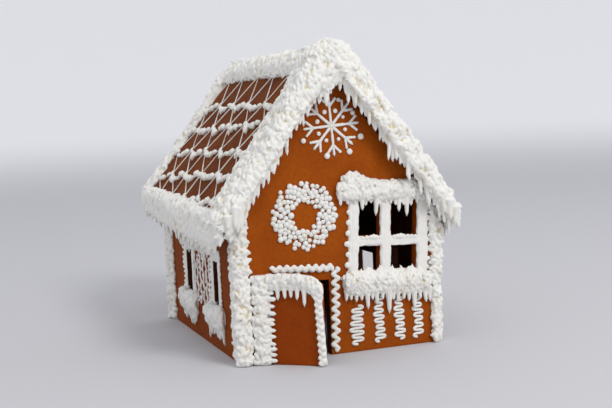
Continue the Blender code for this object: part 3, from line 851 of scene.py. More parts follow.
# a saddle over the ridge, lying on both slopes
def ridgePiece():
    dice = diceFor("icingRidge")
    front = frontEdge + frontVerge["cover"] - 5 * mm
    back = backEdge - backVerge["cover"] + 4 * mm
    y = np.linspace(front, back, 130)[:, None]
    cover, height = ridge["cover"], ridge["height"]
    flank = ((cover, -0.3 * mm), (0.92 * cover, 0.55 * height), (0.65 * cover, 0.85 * height), (0.35 * cover, height))
    left = [onRoof("left", down, y, above) for down, above in flank]
    right = [onRoof("right", down, y, above) for down, above in reversed(flank)]
    peak = np.stack([y * 0 + ridgeX, y, y * 0 + ridgeZ + 1.25 * height], -1)
    saddle = np.stack([y * 0 + ridgeX, y, y * 0 + ridgeZ - 1.0 * mm], -1)
    rings = np.concatenate(left + [peak] + right + [saddle], axis=1)
    rings = lumpy(roundOff(rings, 30), 0.7 * mm, 12 * mm, dice)
    size, radius = ridge["strokeLength"], ridge["strokeRadius"]
    shapes = [band(rings), drips(rings, ridge["strokes"], dice, size, radius, (0.02, 0.85), 0.25)]
    for hem in ((-0.01, 0.04), (0.84, 0.89)):
        shapes.append(drips(rings, ridge["hemStrokes"], dice, 1.2 * size, radius, hem, 0.25))
    icingPiece("icingRidge", shapes, heapIcing, "icing_ridge", cell=ridge["cell"])


ridgePiece()
for roofSide in ("left", "right"):
    vergePiece(roofSide, "front", frontVerge)
    vergePiece(roofSide, "back", backVerge)
    eavePiece(roofSide)

print("stage 6: lattice on the roof")

lattice = {
    "rows": (  # down the slope at the front and at the back, first knot's place, distance between knots
        (13.0, 13.0, 6.0, 36.8), (39.0, 39.0, 19.2, 36.8), (53.5, 62.0, 33.0, 37.0), (76.0, 84.0, 49.0, 37.0),
        (94.5, 107.0, 57.5, 36.6), (116.0, 125.0, 65.0, 33.3), (133.0, 141.0, 70.0, 33.3),
    ),
    "thread": 0.42 * mm, "knot": 2.1 * mm, "leafLength": 7.0 * mm, "leafRadius": 2.15 * mm,
    # a swag's touches: how far along it they start, and which way they lean
    "leaves": ((0.13, 0.9), (0.30, 0.8), (0.47, 0.3), (0.66, -0.7), (0.85, -0.9)), "sag": 4.5 * mm,
    "astray": 0.7 * mm,
}


# knots in rows; from each, one thread runs down the slope and one slants to the front, and the
# knots of a row are joined by a swag of leaf-shaped touches
def latticePiece(side):
    name = "icingLattice" + side.capitalize()
    dice = diceFor(name)
    number = np.arange(-2, 6)
    low, high = frontEdge + 12 * mm, backEdge - 8 * mm
    knots = []
    for downFront, downBack, first, pitch in lattice["rows"]:
        y = (first + pitch * number) * mm + dice.normal(0, lattice["astray"], len(number))
        down = (downFront + (downBack - downFront) * y / wallDepth) * mm
        knots.append((np.minimum(down, slopeLength(side, y) - 4 * mm), y))
    shapes = []
    for (downA, yA), (downB, yB) in zip(knots, knots[1:]):
        for shift in (0, 1):
            a, b = slice(shift, None), slice(0, len(number) - shift)
            shapes.append(threads(side, (downA[a], yA[a], downB[b], yB[b]), low, high, dice))
    for down, y in knots[1:-1]:
        inside = (y > low) & (y < high)
        centres = onRoof(side, down[inside], y[inside], 0.2 * mm)
        size = lattice["knot"] * dice.uniform(0.7, 1.2, inside.sum())
        shapes.append(dots(centres, roofOutward(side, y[inside]), size, (0.0, 1.0, 0.0)))
        shapes.append(swags(side, down, y, low, high, dice))
    icingPiece(name, shapes, pipedIcing)


# the way off the roof panel
def roofOutward(side, y):
    return unit(onRoof(side, 0.05, y, 0.01) - onRoof(side, 0.05, y, 0.0))


# straight piped threads that lie on the panel, cut off where the edges' icing begins
def threads(side, ends, low, high, dice):
    downA, yA, downB, yB = ends
    steps = np.linspace(0.0, 1.0, 12)
    y = yA[:, None] + (yB - yA)[:, None] * steps
    down = downA[:, None] + (downB - downA)[:, None] * steps
    bow = np.sin(np.pi * steps) * dice.normal(0, 0.5 * mm, (len(yA), 1))
    keep = (y.max(axis=1) > low) & (y.min(axis=1) < high)
    y = np.clip(y[keep] + bow[keep], low - 8 * mm, high + 6 * mm)
    paths = onRoof(side, down[keep], y, 0.35 * mm)
    away = roofOutward(side, y)
    return sweep(paths, np.full(y.shape, lattice["thread"]) * dice.uniform(0.85, 1.2, (len(paths), 1)), away, 6)


# between two knots hang leaf-shaped touches, from both knots towards a low middle
def swags(side, down, y, low, high, dice):
    starts, flows = [], []
    for share, lean in lattice["leaves"]:
        here = y[:-1] + np.diff(y) * share
        sag = lattice["sag"] * np.sin(np.pi * share)
        starts.append(np.stack([down[:-1] + np.diff(down) * share + sag, here], -1))
        flows.append(np.tile((0.55 + 0.2 * (1 - abs(lean)), lean), (len(here), 1)))
    spots, flows = np.concatenate(starts), np.concatenate(flows)
    flows = flows + dice.normal(0, 0.30, flows.shape)
    spots = spots + dice.normal(0, lattice["astray"], spots.shape)
    inside = (spots[:, 1] > low) & (spots[:, 1] < high)
    spots, flows = spots[inside], flows[inside]
    start = onRoof(side, spots[:, 0], spots[:, 1], 0.5 * mm)
    ahead = onRoof(side, spots[:, 0] + flows[:, 0] * mm, spots[:, 1] + flows[:, 1] * mm, 0.5 * mm)
    length = lattice["leafLength"] * dice.uniform(0.60, 1.15, len(spots))
    radius = lattice["leafRadius"] * dice.uniform(0.65, 1.3, len(spots))
    return strokes(start, unit(ahead - start), roofOutward(side, spots[:, 1]), length, radius, 7)


for roofSide in ("left", "right"):
    latticePiece(roofSide)

print("stage 7: icing at the corners")

column = {
    "top": 98.0 * mm, "relief": 3.2 * mm, "flank": 13.0 * mm, "bump": 6.4 * mm,
    "face": {"left": 6.2 * mm, "right": 1.4 * mm}, "swell": {"left": 0.0, "right": 1.3},
    "strokes": 420, "strokeLength": 5.0 * mm, "strokeRadius": 1.3 * mm,
    "edgeLength": 6.4 * mm, "edgeRadius": 1.75 * mm, "cell": 0.48 * mm,
}


# a strip that wraps a corner, with rounded bumps along both edges
def columnPiece(cornerX, cornerY):
    name = "icingColumn" + cornerY.capitalize() + cornerX.capitalize()
    dice = diceFor(name)
    towardX = -sideSign[cornerX]
    towardY = 1.0 if cornerY == "front" else -1.0
    x = 0.0 if cornerX == "left" else wallWidth
    y = 0.0 if cornerY == "front" else wallDepth
    z = np.linspace(gap, column["top"], 70)
    relief, face, flank = column["relief"], column["face"][cornerX], column["flank"]
    keys = (
        (0.5 * mm, flank), (-0.3 * relief, flank - 1.0 * mm), (-0.8 * relief, 0.5 * flank), (-relief, 0.1 * flank),
        (-0.75 * relief, -0.75 * relief), (0.3 * face, -relief), (0.8 * face, -0.8 * relief), (face, 0.5 * mm),
        (0.5 * mm, 0.5 * mm),
    )
    outline = roundOff(outlines(keys, len(z)), 27)
    swell = 1.0 + column["swell"][cornerX] * (0.35 + np.exp(-(((z - 74 * mm) / (16 * mm)) ** 2)))
    outline[..., 0] = np.where(outline[..., 0] < 0, outline[..., 0] * swell[:, None], outline[..., 0])
    rings = np.stack([x + towardX * outline[..., 0], y + towardY * outline[..., 1],
                      np.broadcast_to(z[:, None], outline.shape[:2])], -1)
    bumpy = lumpy(rings, 0.6 * mm, 9 * mm, dice)
    bumpy[..., 2] = np.maximum(bumpy[..., 2], gap)
    shapes = [
        band(bumpy),
        drips(bumpy, column["strokes"], dice, column["strokeLength"], column["strokeRadius"], (0.06, 0.76), 0.55),
    ]
    bumps = np.arange(3 * mm, column["top"] - 3 * mm, 0.5 * column["bump"])
    bumps = bumps + dice.normal(0, 0.6 * mm, len(bumps))
    count = len(bumps)
    size = np.where(np.arange(count) % 2, 1.0, 0.66) * dice.uniform(0.8, 1.2, count)
    sideEdge = (x - towardX * 0.25 * relief, y + towardY * (flank - 3 * mm))
    faceEdge = (x + towardX * (face - 2 * mm), y - towardY * 0.5 * relief)
    for (edgeX, edgeY), (aheadX, aheadY), away, spread in (
        (sideEdge, (0.0, towardY), (-towardX, 0.0, 0.0), 0.25),
        (faceEdge, (towardX, 0.0), (0.0, -towardY, 0.0), 0.30),
    ):
        ahead = np.stack(np.broadcast_arrays(aheadX, aheadY, dice.normal(-0.25, spread, count)), -1)
        start = np.stack(np.broadcast_arrays(edgeX, edgeY, bumps), -1)
        shapes.append(strokes(start, unit(ahead), away, column["edgeLength"] * size, column["edgeRadius"] * size, 8))
    icingPiece(name, shapes, heapIcing, "icing_column_" + cornerY + "_" + cornerX, cell=column["cell"])


for cornerSide in ("left", "right"):
    for cornerEnd in ("front", "back"):
        columnPiece(cornerSide, cornerEnd)

print("stage 8: icing round the front window")


# A heap along a wall: `middle` is its height, `top` and `bottom` how far it reaches from there,
# `relief` how far it stands out. `rise` lifts it along its length.
def heapRings(place, start, end, middle, top, bottom, relief, dice, rise=None, count=90):
    along = np.linspace(start, end, count)
    fromEnd = np.minimum(along - start, end - along)
    inset = 0.45 + 0.55 * np.sqrt(np.clip(fromEnd / (5 * mm), 0.0, 1.0))
    lift = rise(along) if rise else 0.0
    keys = (
        (middle + top * inset + lift, -0.4 * mm), (middle + 0.85 * top * inset + lift, 0.60 * relief * inset),
        (middle + 0.45 * top * inset + 0.8 * lift, 0.95 * relief * inset), (middle + 0.3 * lift, relief * inset),
        (middle - 0.6 * bottom * inset, 0.85 * relief * inset), (middle - bottom * inset, 0.45 * relief * inset),
        (middle - 0.9 * bottom * inset, -0.4 * mm), (middle, -0.4 * mm),
    )
    outline = roundOff(outlines(keys, count), 24, 1)
    rings = place(along[:, None], outline[..., 0], outline[..., 1])
    return lumpy(rings, 0.5 * mm, 7 * mm, dice)


# a left lump on the lintel, and a fall at its right end
def lintelRise(across):
    lump = 5.8 * mm * np.exp(-(((across + 26.5 * mm) / (8 * mm)) ** 2))
    return lump - 3.0 * mm * (np.maximum(0.0, across - 16 * mm) / (13 * mm)) ** 2


lintel = {
    "start": -38.0 * mm, "end": 30.5 * mm, "middle": window["ends"][1] + 4.6 * mm, "top": 6.8 * mm,
    "bottom": 4.6 * mm, "relief": 5.2 * mm, "strokes": 430, "teeth": 0,
    "hangAt": (-36, -31, -26, -20.5, -17.5, -14, -10.0, -7.5, -3, 0.5, 3.8, 6.8, 9.6, 12.4, 16, 20, 24, 28),
    "hang": (5.5, 4.5, 4.5, 9.5, 6.0, 4.0, 14.0, 5.5, 4.0, 5.0, 6.0, 11.0, 6.0, 15.0, 6.5, 5.0, 4.5, 5.0),
    "hangRadius": 2.0 * mm,
}
sill = {
    "start": -33.0 * mm, "end": 32.5 * mm, "middle": window["ends"][0] - 3.6 * mm, "top": 6.6 * mm,
    "bottom": 7.0 * mm, "relief": 5.4 * mm, "strokes": 430, "teeth": 26,
    "hangAt": (-31, -28.0, -24.0, -20, -16.0, -12.5, -9.0, -4.5, 0.0, 3.5, 7.0, 11.5, 15.0, 19.0, 23.0, 27.0, 30.5),
    "hang": (7.0, 6.5, 8.0, 7.0, 14.0, 7.0, 11.0, 7.0, 19.0, 8.0, 10.0, 8.0, 9.5, 16.0, 8.0, 11.0, 11.0),
    "hangRadius": 2.05 * mm,
}


# a heap with icicles at set places; the sill's has touches as well that point up over the lower bar
def windowHeap(name, settings, rise, node):
    dice = diceFor(name)
    middle, top, bottom, relief, count = (settings[key] for key in ("middle", "top", "bottom", "relief", "strokes"))
    rings = heapRings(onWindow, settings["start"], settings["end"], middle, top, bottom, relief, dice, rise)
    hangAt, hang = np.array(settings["hangAt"]) * mm, np.array(settings["hang"])
    roots = onWindow(hangAt, middle - 0.70 * bottom, 0.50 * relief)
    facing = facingOf(onWindow)
    shapes = [
        band(rings),
        drips(rings, count, dice, 5.0 * mm, 1.25 * mm, (0.06, 0.66), 0.35),
        drips(rings, count // 5, dice, 5.5 * mm, 1.2 * mm, (0.50, 0.62), 0.25),
        drips(rings, 60, dice, 4.0 * mm, 1.4 * mm, (0.02, 0.14), 0.8),
        icicles(roots, (hang + 2.0) * mm, settings["hangRadius"] * (0.7 + 0.03 * hang), facing, dice, 8),
    ]
    count = settings["teeth"]
    if count:
        across = np.linspace(-21 * mm, 24 * mm, count) + dice.normal(0, 0.5 * mm, count)
        up = middle + 0.8 * top
        start = onWindow(across, up, 0.45 * relief)
        ahead = onWindow(across + dice.normal(0, 0.4 * mm, count), up + 1 * mm, 0.40 * relief)
        length, radius = (dice.uniform(*span, count) * mm for span in ((4.0, 8.5), (0.9, 1.35)))
        shapes.append(strokes(start, unit(ahead - start), facing, length, radius, 8))
    icingPiece(name, shapes, heapIcing, node, cell=0.36 * mm)


windowHeap("icingWindowLintel", lintel, lintelRise, "icing_window_lintel")
windowHeap("icingWindowSill", sill, None, "icing_window_sill")

frameFinish = {
    "bead": 2.15 * mm, "beadPitch": 7.1 * mm, "wobble": 0.5 * mm, "cell": 0.38 * mm,
    "rightBeads": (-22.0, -16.5, -9.5, -3.0, 4.0, 11.5, 18.5),
    # drops that lie on the bar between the panes: place across, radius
    "barDropsAt": (-19.5, -16.2, -13.2, -11.2, -9.2, -6.4, 4.2, 6.6, 8.9, 11.0, 14.2, 17.0, 19.8),
    "barDrops": (1.3, 1.5, 1.6, 2.0, 1.7, 1.3, 1.5, 1.8, 2.1, 1.7, 1.6, 1.5, 1.4),
}


# a flat bar of icing between two points of a wall, made of a rounded core and threads along it
def bar(place, start, end, halfWidth, relief, dice, threadCount=3):
    steps = np.linspace(0.0, 1.0, 40)
    across = start[0] + (end[0] - start[0]) * steps
    up = start[1] + (end[1] - start[1]) * steps
    reach = np.array((end[0] - start[0], end[1] - start[1]))
    sideways = np.array((-reach[1], reach[0])) / np.hypot(*reach)
    outward = facingOf(place)
    swell = 1.0 + 0.05 * np.sin(steps * 31 + dice.uniform(0, 6)) + 0.04 * np.sin(steps * 57 + dice.uniform(0, 6))
    radii = halfWidth * swell
    radii[[1, -2]] *= 0.8
    core = place(across, up, 0.10 * relief)
    shapes = [sweep(core[None], radii[None], outward, 14, 0.78 * relief / halfWidth)]
    for offset in np.linspace(-0.6, 0.6, threadCount):
        drift = offset * halfWidth + frameFinish["wobble"] * np.sin(steps * dice.uniform(9, 16) + dice.uniform(0, 6))
        path = place(across + sideways[0] * drift, up + sideways[1] * drift, 0.48 * relief)
        width = 0.42 * relief * (1.0 + 0.22 * np.sin(steps * dice.uniform(25, 45) + dice.uniform(0, 6)))
        shapes.append(line(path, width, outward, 7))
    return shapes


# jambs and bars round the four panes, with beads down both sides and drops on the middle bar
def windowFrame():
    dice = diceFor("icingWindowFrame")
    (leftPane, leftPaneEnd), (rightPane, rightPaneEnd) = window["panesAcross"]
    (lowPane, lowPaneEnd), (highPane, _) = window["panesUp"]
    bottom, top = window["ends"]
    left, right = window["jambs"]
    relief = window["relief"]
    uprights = ((left - 1.0 * mm, leftPane, 0.0), (leftPaneEnd, rightPane, -1.3 * mm), (rightPaneEnd, right, -0.4 * mm))
    shapes = []
    for start, end, lean in uprights:
        middle, half = (start + end) / 2, (end - start) / 2 + 0.2 * mm
        shapes += bar(onWindow, (middle, bottom - 3 * mm), (middle + lean, top + 3 * mm), half, relief, dice)
    for low, high in ((lowPaneEnd, highPane), (bottom, lowPane)):
        middle, half = (low + high) / 2, (high - low) / 2 + 0.2 * mm
        shapes += bar(onWindow, (left + 1 * mm, middle), (right - 1 * mm, middle), half, 0.9 * relief, dice, 2)

    def beads(across, up, proud, radius):
        shapes.append(dotsOn(onWindow, across, up, proud, radius, 10))

    up = np.arange(bottom + 1 * mm, top - 1 * mm, frameFinish["beadPitch"])
    size = frameFinish["bead"] * dice.uniform(0.88, 1.1, len(up))
    beads(left - 1.6 * mm + dice.normal(0, 0.3 * mm, len(up)), up, 0.4 * mm, size)
    up = np.array(frameFinish["rightBeads"]) * mm
    count = len(up)
    beads(right + 0.6 * mm + dice.normal(0, 0.4 * mm, count), up, 0.4 * mm, dice.uniform(1.5, 2.1, count) * mm)
    beads(right - 7.6 * mm + dice.normal(0, 0.3 * mm, count), up - 2 * mm, 0.8 * mm, dice.uniform(1.0, 1.4, count) * mm)
    size = np.array(frameFinish["barDrops"]) * mm
    beads(np.array(frameFinish["barDropsAt"]) * mm, highPane - 1.3 * mm + 0.5 * size, 1.4 * mm, size)
    icingPiece("icingWindowFrame", shapes, pipedIcing, "icing_window_frame", cell=frameFinish["cell"])


windowFrame()

squiggle = {"turn": 2.25 * mm, "radius": 0.95 * mm, "raised": (2 * mm, 5 * mm, 7 * mm, 6 * mm)}


# a line that swings from side to side on its way down: sine swings, falling fastest at each turn
def squigglePiece(number):
    node = "icing_squiggle_%d" % number
    dice = diceFor(node)
    low, high = nodeBox(node)
    top, bottom = high[2] + squiggle["raised"][number - 1], low[2] + 1.2 * mm
    middle, half = (low[0] + high[0]) / 2, (high[0] - low[0]) / 2 - squiggle["radius"]
    turns = round((top - bottom) / squiggle["turn"])
    phase = np.linspace(0.0, turns * np.pi, turns * 14)
    swing = np.sin(phase) * (0.86 + 0.14 * np.sin(phase * 0.31 + number))
    swing = swing * (0.72 + 0.28 * np.minimum(1.0, phase / 9))
    z = top - (top - bottom) * (phase - 0.46 * np.sin(2 * phase)) / phase[-1]
    path = onFront(middle + half * swing + 0.5 * mm * np.sin(phase * 0.17 + number), z, 0.55 * mm)
    radius = squiggle["radius"] * (1.0 + 0.14 * np.abs(np.sin(phase)) ** 6 + 0.04 * dice.normal(size=len(phase)))
    icingPiece("icingSquiggle%d" % number, [line(path, radius, (0.0, -1.0, 0.0), 8, 0.9)], pipedIcing, node)


for squiggleNumber in (1, 2, 3, 4):
    squigglePiece(squiggleNumber)

print("stage 9: icing round the door")

doorIcing = {
    # the hood's middle line and half width, along the leaf and up
    "hood": ((-2, 55.0), (12, 55.6), (23, 55.4), (29.5, 54.0), (32.8, 50.0), (33.2, 43)),
    "hoodWidth": ((0, 0.5, 0.75, 0.9, 1), (4.6, 4.6, 4.4, 3.7, 2.9)),
    "strip": ((32.8, 46), (33.2, 38), (33.9, 24), (34.5, 10), (34.8, 1.2)),
    "stripWidth": 2.5 * mm,
    "hangAt": (2.0, 6.0, 10.5, 15.0, 19.4, 24.0, 27.5),
    "hang": (6.5, 12.0, 11.0, 10.5, 11.5, 16.5, 6.0),
    "hangRadius": 2.0 * mm, "smallRadius": 1.6 * mm,
    "turns": 22,  # strokes down the strip
    "cell": 0.38 * mm,
}
leafFacing = facingOf(onLeaf)


# a band over the top of the leaf that bends down at its free edge
def doorHoodPiece():
    dice = diceFor("icingDoorHood")
    along, up = eased(doorIcing["hood"], 60).T * mm
    width = np.interp(np.linspace(0, 1, 60), *doorIcing["hoodWidth"]) * mm
    rings = lumpy(tubeRings(onLeaf(along, up, 0.2 * mm), width, leafFacing, 22, 0.62), 0.35 * mm, 6 * mm, dice)
    hangAt, hang = np.array(doorIcing["hangAt"]) * mm, np.array(doorIcing["hang"]) * mm

    def rootsAt(places, below, proud):
        return onLeaf(places, np.interp(places, along[:50], up[:50]) - below, proud)

    roots, smallRoots = rootsAt(hangAt, 2.6 * mm, 1.3 * mm), rootsAt(hangAt + 2.4 * mm, 2.8 * mm, 1.2 * mm)
    radius, smallRadius = (np.full(len(hang), doorIcing[key]) for key in ("hangRadius", "smallRadius"))
    shapes = [
        band(rings),
        drips(rings, 110, dice, 4.5 * mm, 1.0 * mm, (0.03, 0.47), 0.15, (0.02, 0.90)),
        icicles(roots, hang, radius, leafFacing, dice, 8),
        icicles(smallRoots, dice.uniform(3.0, 4.5, len(hang)) * mm, smallRadius, leafFacing, dice, 8),
    ]
    icingPiece("icingDoorHood", shapes, pipedIcing, "icing_door_hood", cell=doorIcing["cell"])


# strokes laid one over the next down the leaf's free edge, leaning left and right in turn
def doorStripPiece():
    dice = diceFor("icingDoorStrip")
    count = doorIcing["turns"]
    along, up = eased(doorIcing["strip"], count).T * mm
    turn = np.where(np.arange(count) % 2, 1.0, -1.0)
    start = onLeaf(along - 1.9 * mm * turn, up + 1.0 * mm, 0.9 * mm)
    ahead = onLeaf(along + 1.5 * mm * turn, up - 1.6 * mm, 1.0 * mm)
    core, coreUp = eased(doorIcing["strip"], 70).T * mm
    width = doorIcing["stripWidth"] * (1.0 + 0.07 * np.sin(np.linspace(0, 34, 70)))
    rings = tubeRings(onLeaf(core, coreUp, 0.2 * mm), width, leafFacing, 16, 0.75)
    length, radius = np.full(count, 4.8 * mm), 1.75 * mm * dice.uniform(0.85, 1.15, count)
    shapes = [band(rings), strokes(start, unit(ahead - start), leafFacing, length, radius, 8)]
    icingPiece("icingDoorStrip", shapes, pipedIcing, "icing_door_strip", cell=doorIcing["cell"])


hinge = {
    # the strip seen from above, on from its left edge: across the wall, and in front of it where negative
    "outline": ((11.5, -5.0), (15.0, -6.2), (17.5, -5.4), (18.5, -2.5), (18.0, 0.4)),
    "strokes": 230, "fingerPitch": 4.0 * mm, "fingerLength": 7.0 * mm, "fingerRadius": 1.45 * mm, "cell": 0.42 * mm,
}


# the jagged strip that glues the leaf to the wall: fingers that lie over the leaf's edge
def hingePiece():
    dice = diceFor("icingDoorHinge")
    low, high = nodeBox("icing_door_hinge")
    z = np.linspace(gap, high[2], 60)
    keys = [(low[0] - 0.4 * mm, 0.4 * mm), (low[0] + 0.4 * mm, -3.2 * mm)]
    keys += [(x * mm, y * mm) for x, y in hinge["outline"]]
    outline = roundOff(outlines(keys, len(z)), 22)
    rings = np.concatenate([outline, np.broadcast_to(z[:, None, None], outline.shape[:2] + (1,))], -1)
    rings = lumpy(rings, 0.6 * mm, 7 * mm, dice)
    rings[..., 2] = np.maximum(rings[..., 2], gap)
    fingers = np.arange(3 * mm, 58 * mm, hinge["fingerPitch"])
    count = len(fingers)
    fingers = fingers + dice.normal(0, 0.35 * mm, count)
    size = dice.uniform(0.8, 1.2, count)
    tip = onLeaf(3.0 * mm * size, fingers + dice.normal(-0.4 * mm, 0.6 * mm, count), 0.9 * mm)
    root = onLeaf(np.full(count, -1.5 * mm), fingers, 1.4 * mm)
    shapes = [
        band(rings),
        drips(rings, hinge["strokes"], dice, 4.8 * mm, 1.25 * mm, (0.05, 0.80), 0.55),
        strokes(tip, unit(root - tip), leafFacing, hinge["fingerLength"] * size, hinge["fingerRadius"] * size, 10),
    ]
    icingPiece("icingDoorHinge", shapes, heapIcing, "icing_door_hinge", cell=hinge["cell"])


doorTrim = {
    "topZ": 61.3 * mm, "topPitch": 5.05 * mm, "topSwing": 1.0 * mm, "topRadius": 1.85 * mm,
    "sideX": 67.0 * mm, "sidePitch": 5.9 * mm, "sideSwing": 1.7 * mm, "sideRadius": 1.5 * mm,
    "topFall": 0.055, "sideLean": 0.035,  # per unit of length
}


# a wave over the door and down its right side, with a touch of the bag on every crest
def doorTrimPiece():
    dice = diceFor("icingDoorTrim")
    facing = facingOf(onFront)
    topPitch, topSwing = doorTrim["topPitch"], doorTrim["topSwing"]
    sidePitch, sideSwing = doorTrim["sidePitch"], doorTrim["sideSwing"]
    x = np.linspace(21.5 * mm, 66 * mm, 120)
    z = np.linspace(59.0 * mm, 2.5 * mm, 150)

    def over(x, z, proud):
        return onFront(x, doorTrim["topZ"] - doorTrim["topFall"] * (x - 21.5 * mm) + z, proud)

    def beside(x, z, proud):
        return onFront(doorTrim["sideX"] - doorTrim["sideLean"] * (59.0 * mm - z) + x, z, proud)

    top = over(x, topSwing * np.sin((x - x[0]) * 2 * np.pi / topPitch), 0.9 * mm)
    side = beside(sideSwing * np.sin((z[0] - z) * 2 * np.pi / sidePitch), z, 0.9 * mm)
    crestX = np.arange(x[0] + 0.25 * topPitch, x[-1], topPitch)
    crestZ = np.arange(z[0] - 0.25 * sidePitch, z[-1], -0.5 * sidePitch)
    sway = np.where(np.arange(len(crestZ)) % 2, -1.0, 1.0) * 1.15 * sideSwing
    centres = np.concatenate([over(crestX, topSwing + 0.7 * mm, 0.7 * mm), beside(sway, crestZ, 0.8 * mm)])
    size = 1.65 * mm * dice.uniform(0.85, 1.15, len(centres))
    shapes = [
        line(path, doorTrim[key] * (1.0 + 0.10 * lumps(path, 3 * mm, dice)), facing, 9, 0.85)
        for path, key in ((top, "topRadius"), (side, "sideRadius"))
    ]
    shapes.append(dots(centres, facing, size))
    icingPiece("icingDoorTrim", shapes, pipedIcing, "icing_door_trim", cell=0.35 * mm)


doorHoodPiece()
doorStripPiece()
hingePiece()
doorTrimPiece()

print("stage 10: wreath and snowflakes")

wreath = {"dots": 138, "inner": 9.3 * mm, "outer": 22.3 * mm, "radius": 1.95 * mm, "astray": 0.42 * mm}


# dots laid out as a sunflower's seeds are, between two circles, each shifted a little
def wreathPiece():
    dice = diceFor("icingWreath")
    x, _, z = np.mean(nodeBox("icing_wreath"), axis=0)
    count = wreath["dots"]
    number = np.arange(count) + 0.5
    inner, outer = wreath["inner"] ** 2, wreath["outer"] ** 2
    radius = np.sqrt(inner + (outer - inner) * number / count) + dice.normal(0, wreath["astray"], count)
    angle = number * math.pi * (3 - math.sqrt(5)) + dice.normal(0, 0.03, count)
    x, z = x + radius * np.cos(angle), z - 1.2 * mm + radius * np.sin(angle)
    proud, share = dice.uniform(0, 0.5, count) * mm, dice.uniform(0.74, 1.15, count)
    icingPiece("icingWreath", [dotsOn(onFront, x, z, proud, wreath["radius"] * share, 10)], pipedIcing, "icing_wreath")


snowflake = {
    "arms": 8, "turn": math.radians(4.0), "radius": 0.98 * mm, "fork": 5.2 * mm, "hub": 1.9 * mm,
    "innerDots": 10.2 * mm, "innerSize": 1.5 * mm,
    # single dots further out: angle in degrees, distance and radius in millimetres
    "outerDots": (
        (204, 21.9, 1.9), (259, 20.0, 2.2), (305, 21.5, 2.2), (339, 22.2, 2.3), (27, 17.6, 1.8), (71, 18.0, 1.6),
    ),
}


# arms about a hub, each forked near its tip, with dots between the arms
def snowflakePiece(name, node, place, mirrored):
    dice = diceFor(name)
    low, high = nodeBox(node)
    centreX, centreZ = (low[0] + high[0]) / 2, (low[2] + high[2]) / 2
    if mirrored:
        centreX = wallWidth - centreX
    arm = (high[2] - low[2]) / 2
    outward = facingOf(place)
    angles = snowflake["turn"] + np.arange(snowflake["arms"]) * 2 * np.pi / snowflake["arms"]
    steps = np.linspace(0.0, 1.0, 14)

    def spokes(startOut, startSide, endOut, endSide, radius):
        out = startOut + (endOut - startOut) * steps
        sideways = startSide + (endSide - startSide) * steps
        x = out * np.cos(angles)[:, None] - sideways * np.sin(angles)[:, None]
        z = out * np.sin(angles)[:, None] + sideways * np.cos(angles)[:, None]
        paths = place(centreX + x, centreZ + z, 0.45 * mm)
        thick = radius * (1.0 + 0.10 * dice.normal(size=x.shape))
        return sweep(paths, thick, outward, 8, 0.85)

    def dotsAt(angle, far, size):
        return dotsOn(place, centreX + far * np.cos(angle), centreZ + far * np.sin(angle), 0.1 * mm, size, 10)

    shapes = [spokes(0.0, 0.0, arm, 0.0, snowflake["radius"])]
    for fork in (snowflake["fork"], -snowflake["fork"]):
        shapes.append(spokes(0.62 * arm, 0.0, 0.90 * arm, fork, 0.95 * snowflake["radius"]))
    between = angles + np.pi / snowflake["arms"] + dice.normal(0, 0.05, len(angles))
    size = snowflake["innerSize"] * dice.uniform(0.85, 1.15, len(angles))
    shapes += [
        dotsOn(place, np.array([centreX]), centreZ, 0.2 * mm, np.array([snowflake["hub"]]), 12),
        dotsAt(between, snowflake["innerDots"], size),
    ]
    if not mirrored:
        shapes.append(dotsAt(*np.array(snowflake["outerDots"]).T * np.array(((math.pi / 180,), (mm,), (mm,)))))
    icingPiece(name, shapes, pipedIcing, node)


wreathPiece()
snowflakePiece("icingSnowflakeFront", "icing_snowflake_front", onFront, False)
snowflakePiece("icingSnowflakeBack", "icing_snowflake_back", onBack, True)

print("stage 11: side windows")

sideWindow = {"bandWidth": 6.5 * mm, "above": 9.0 * mm, "below": 2.0 * mm, "relief": 0.9 * mm, "sillDrop": 7.0 * mm,
              "sillPast": 13.5 * mm, "hang": (7.0 * mm, 15.0 * mm), "bead": 1.6 * mm, "beadPitch": 3.7 * mm,
              "sillStrokes": 260, "sillPitch": 3.0 * mm}


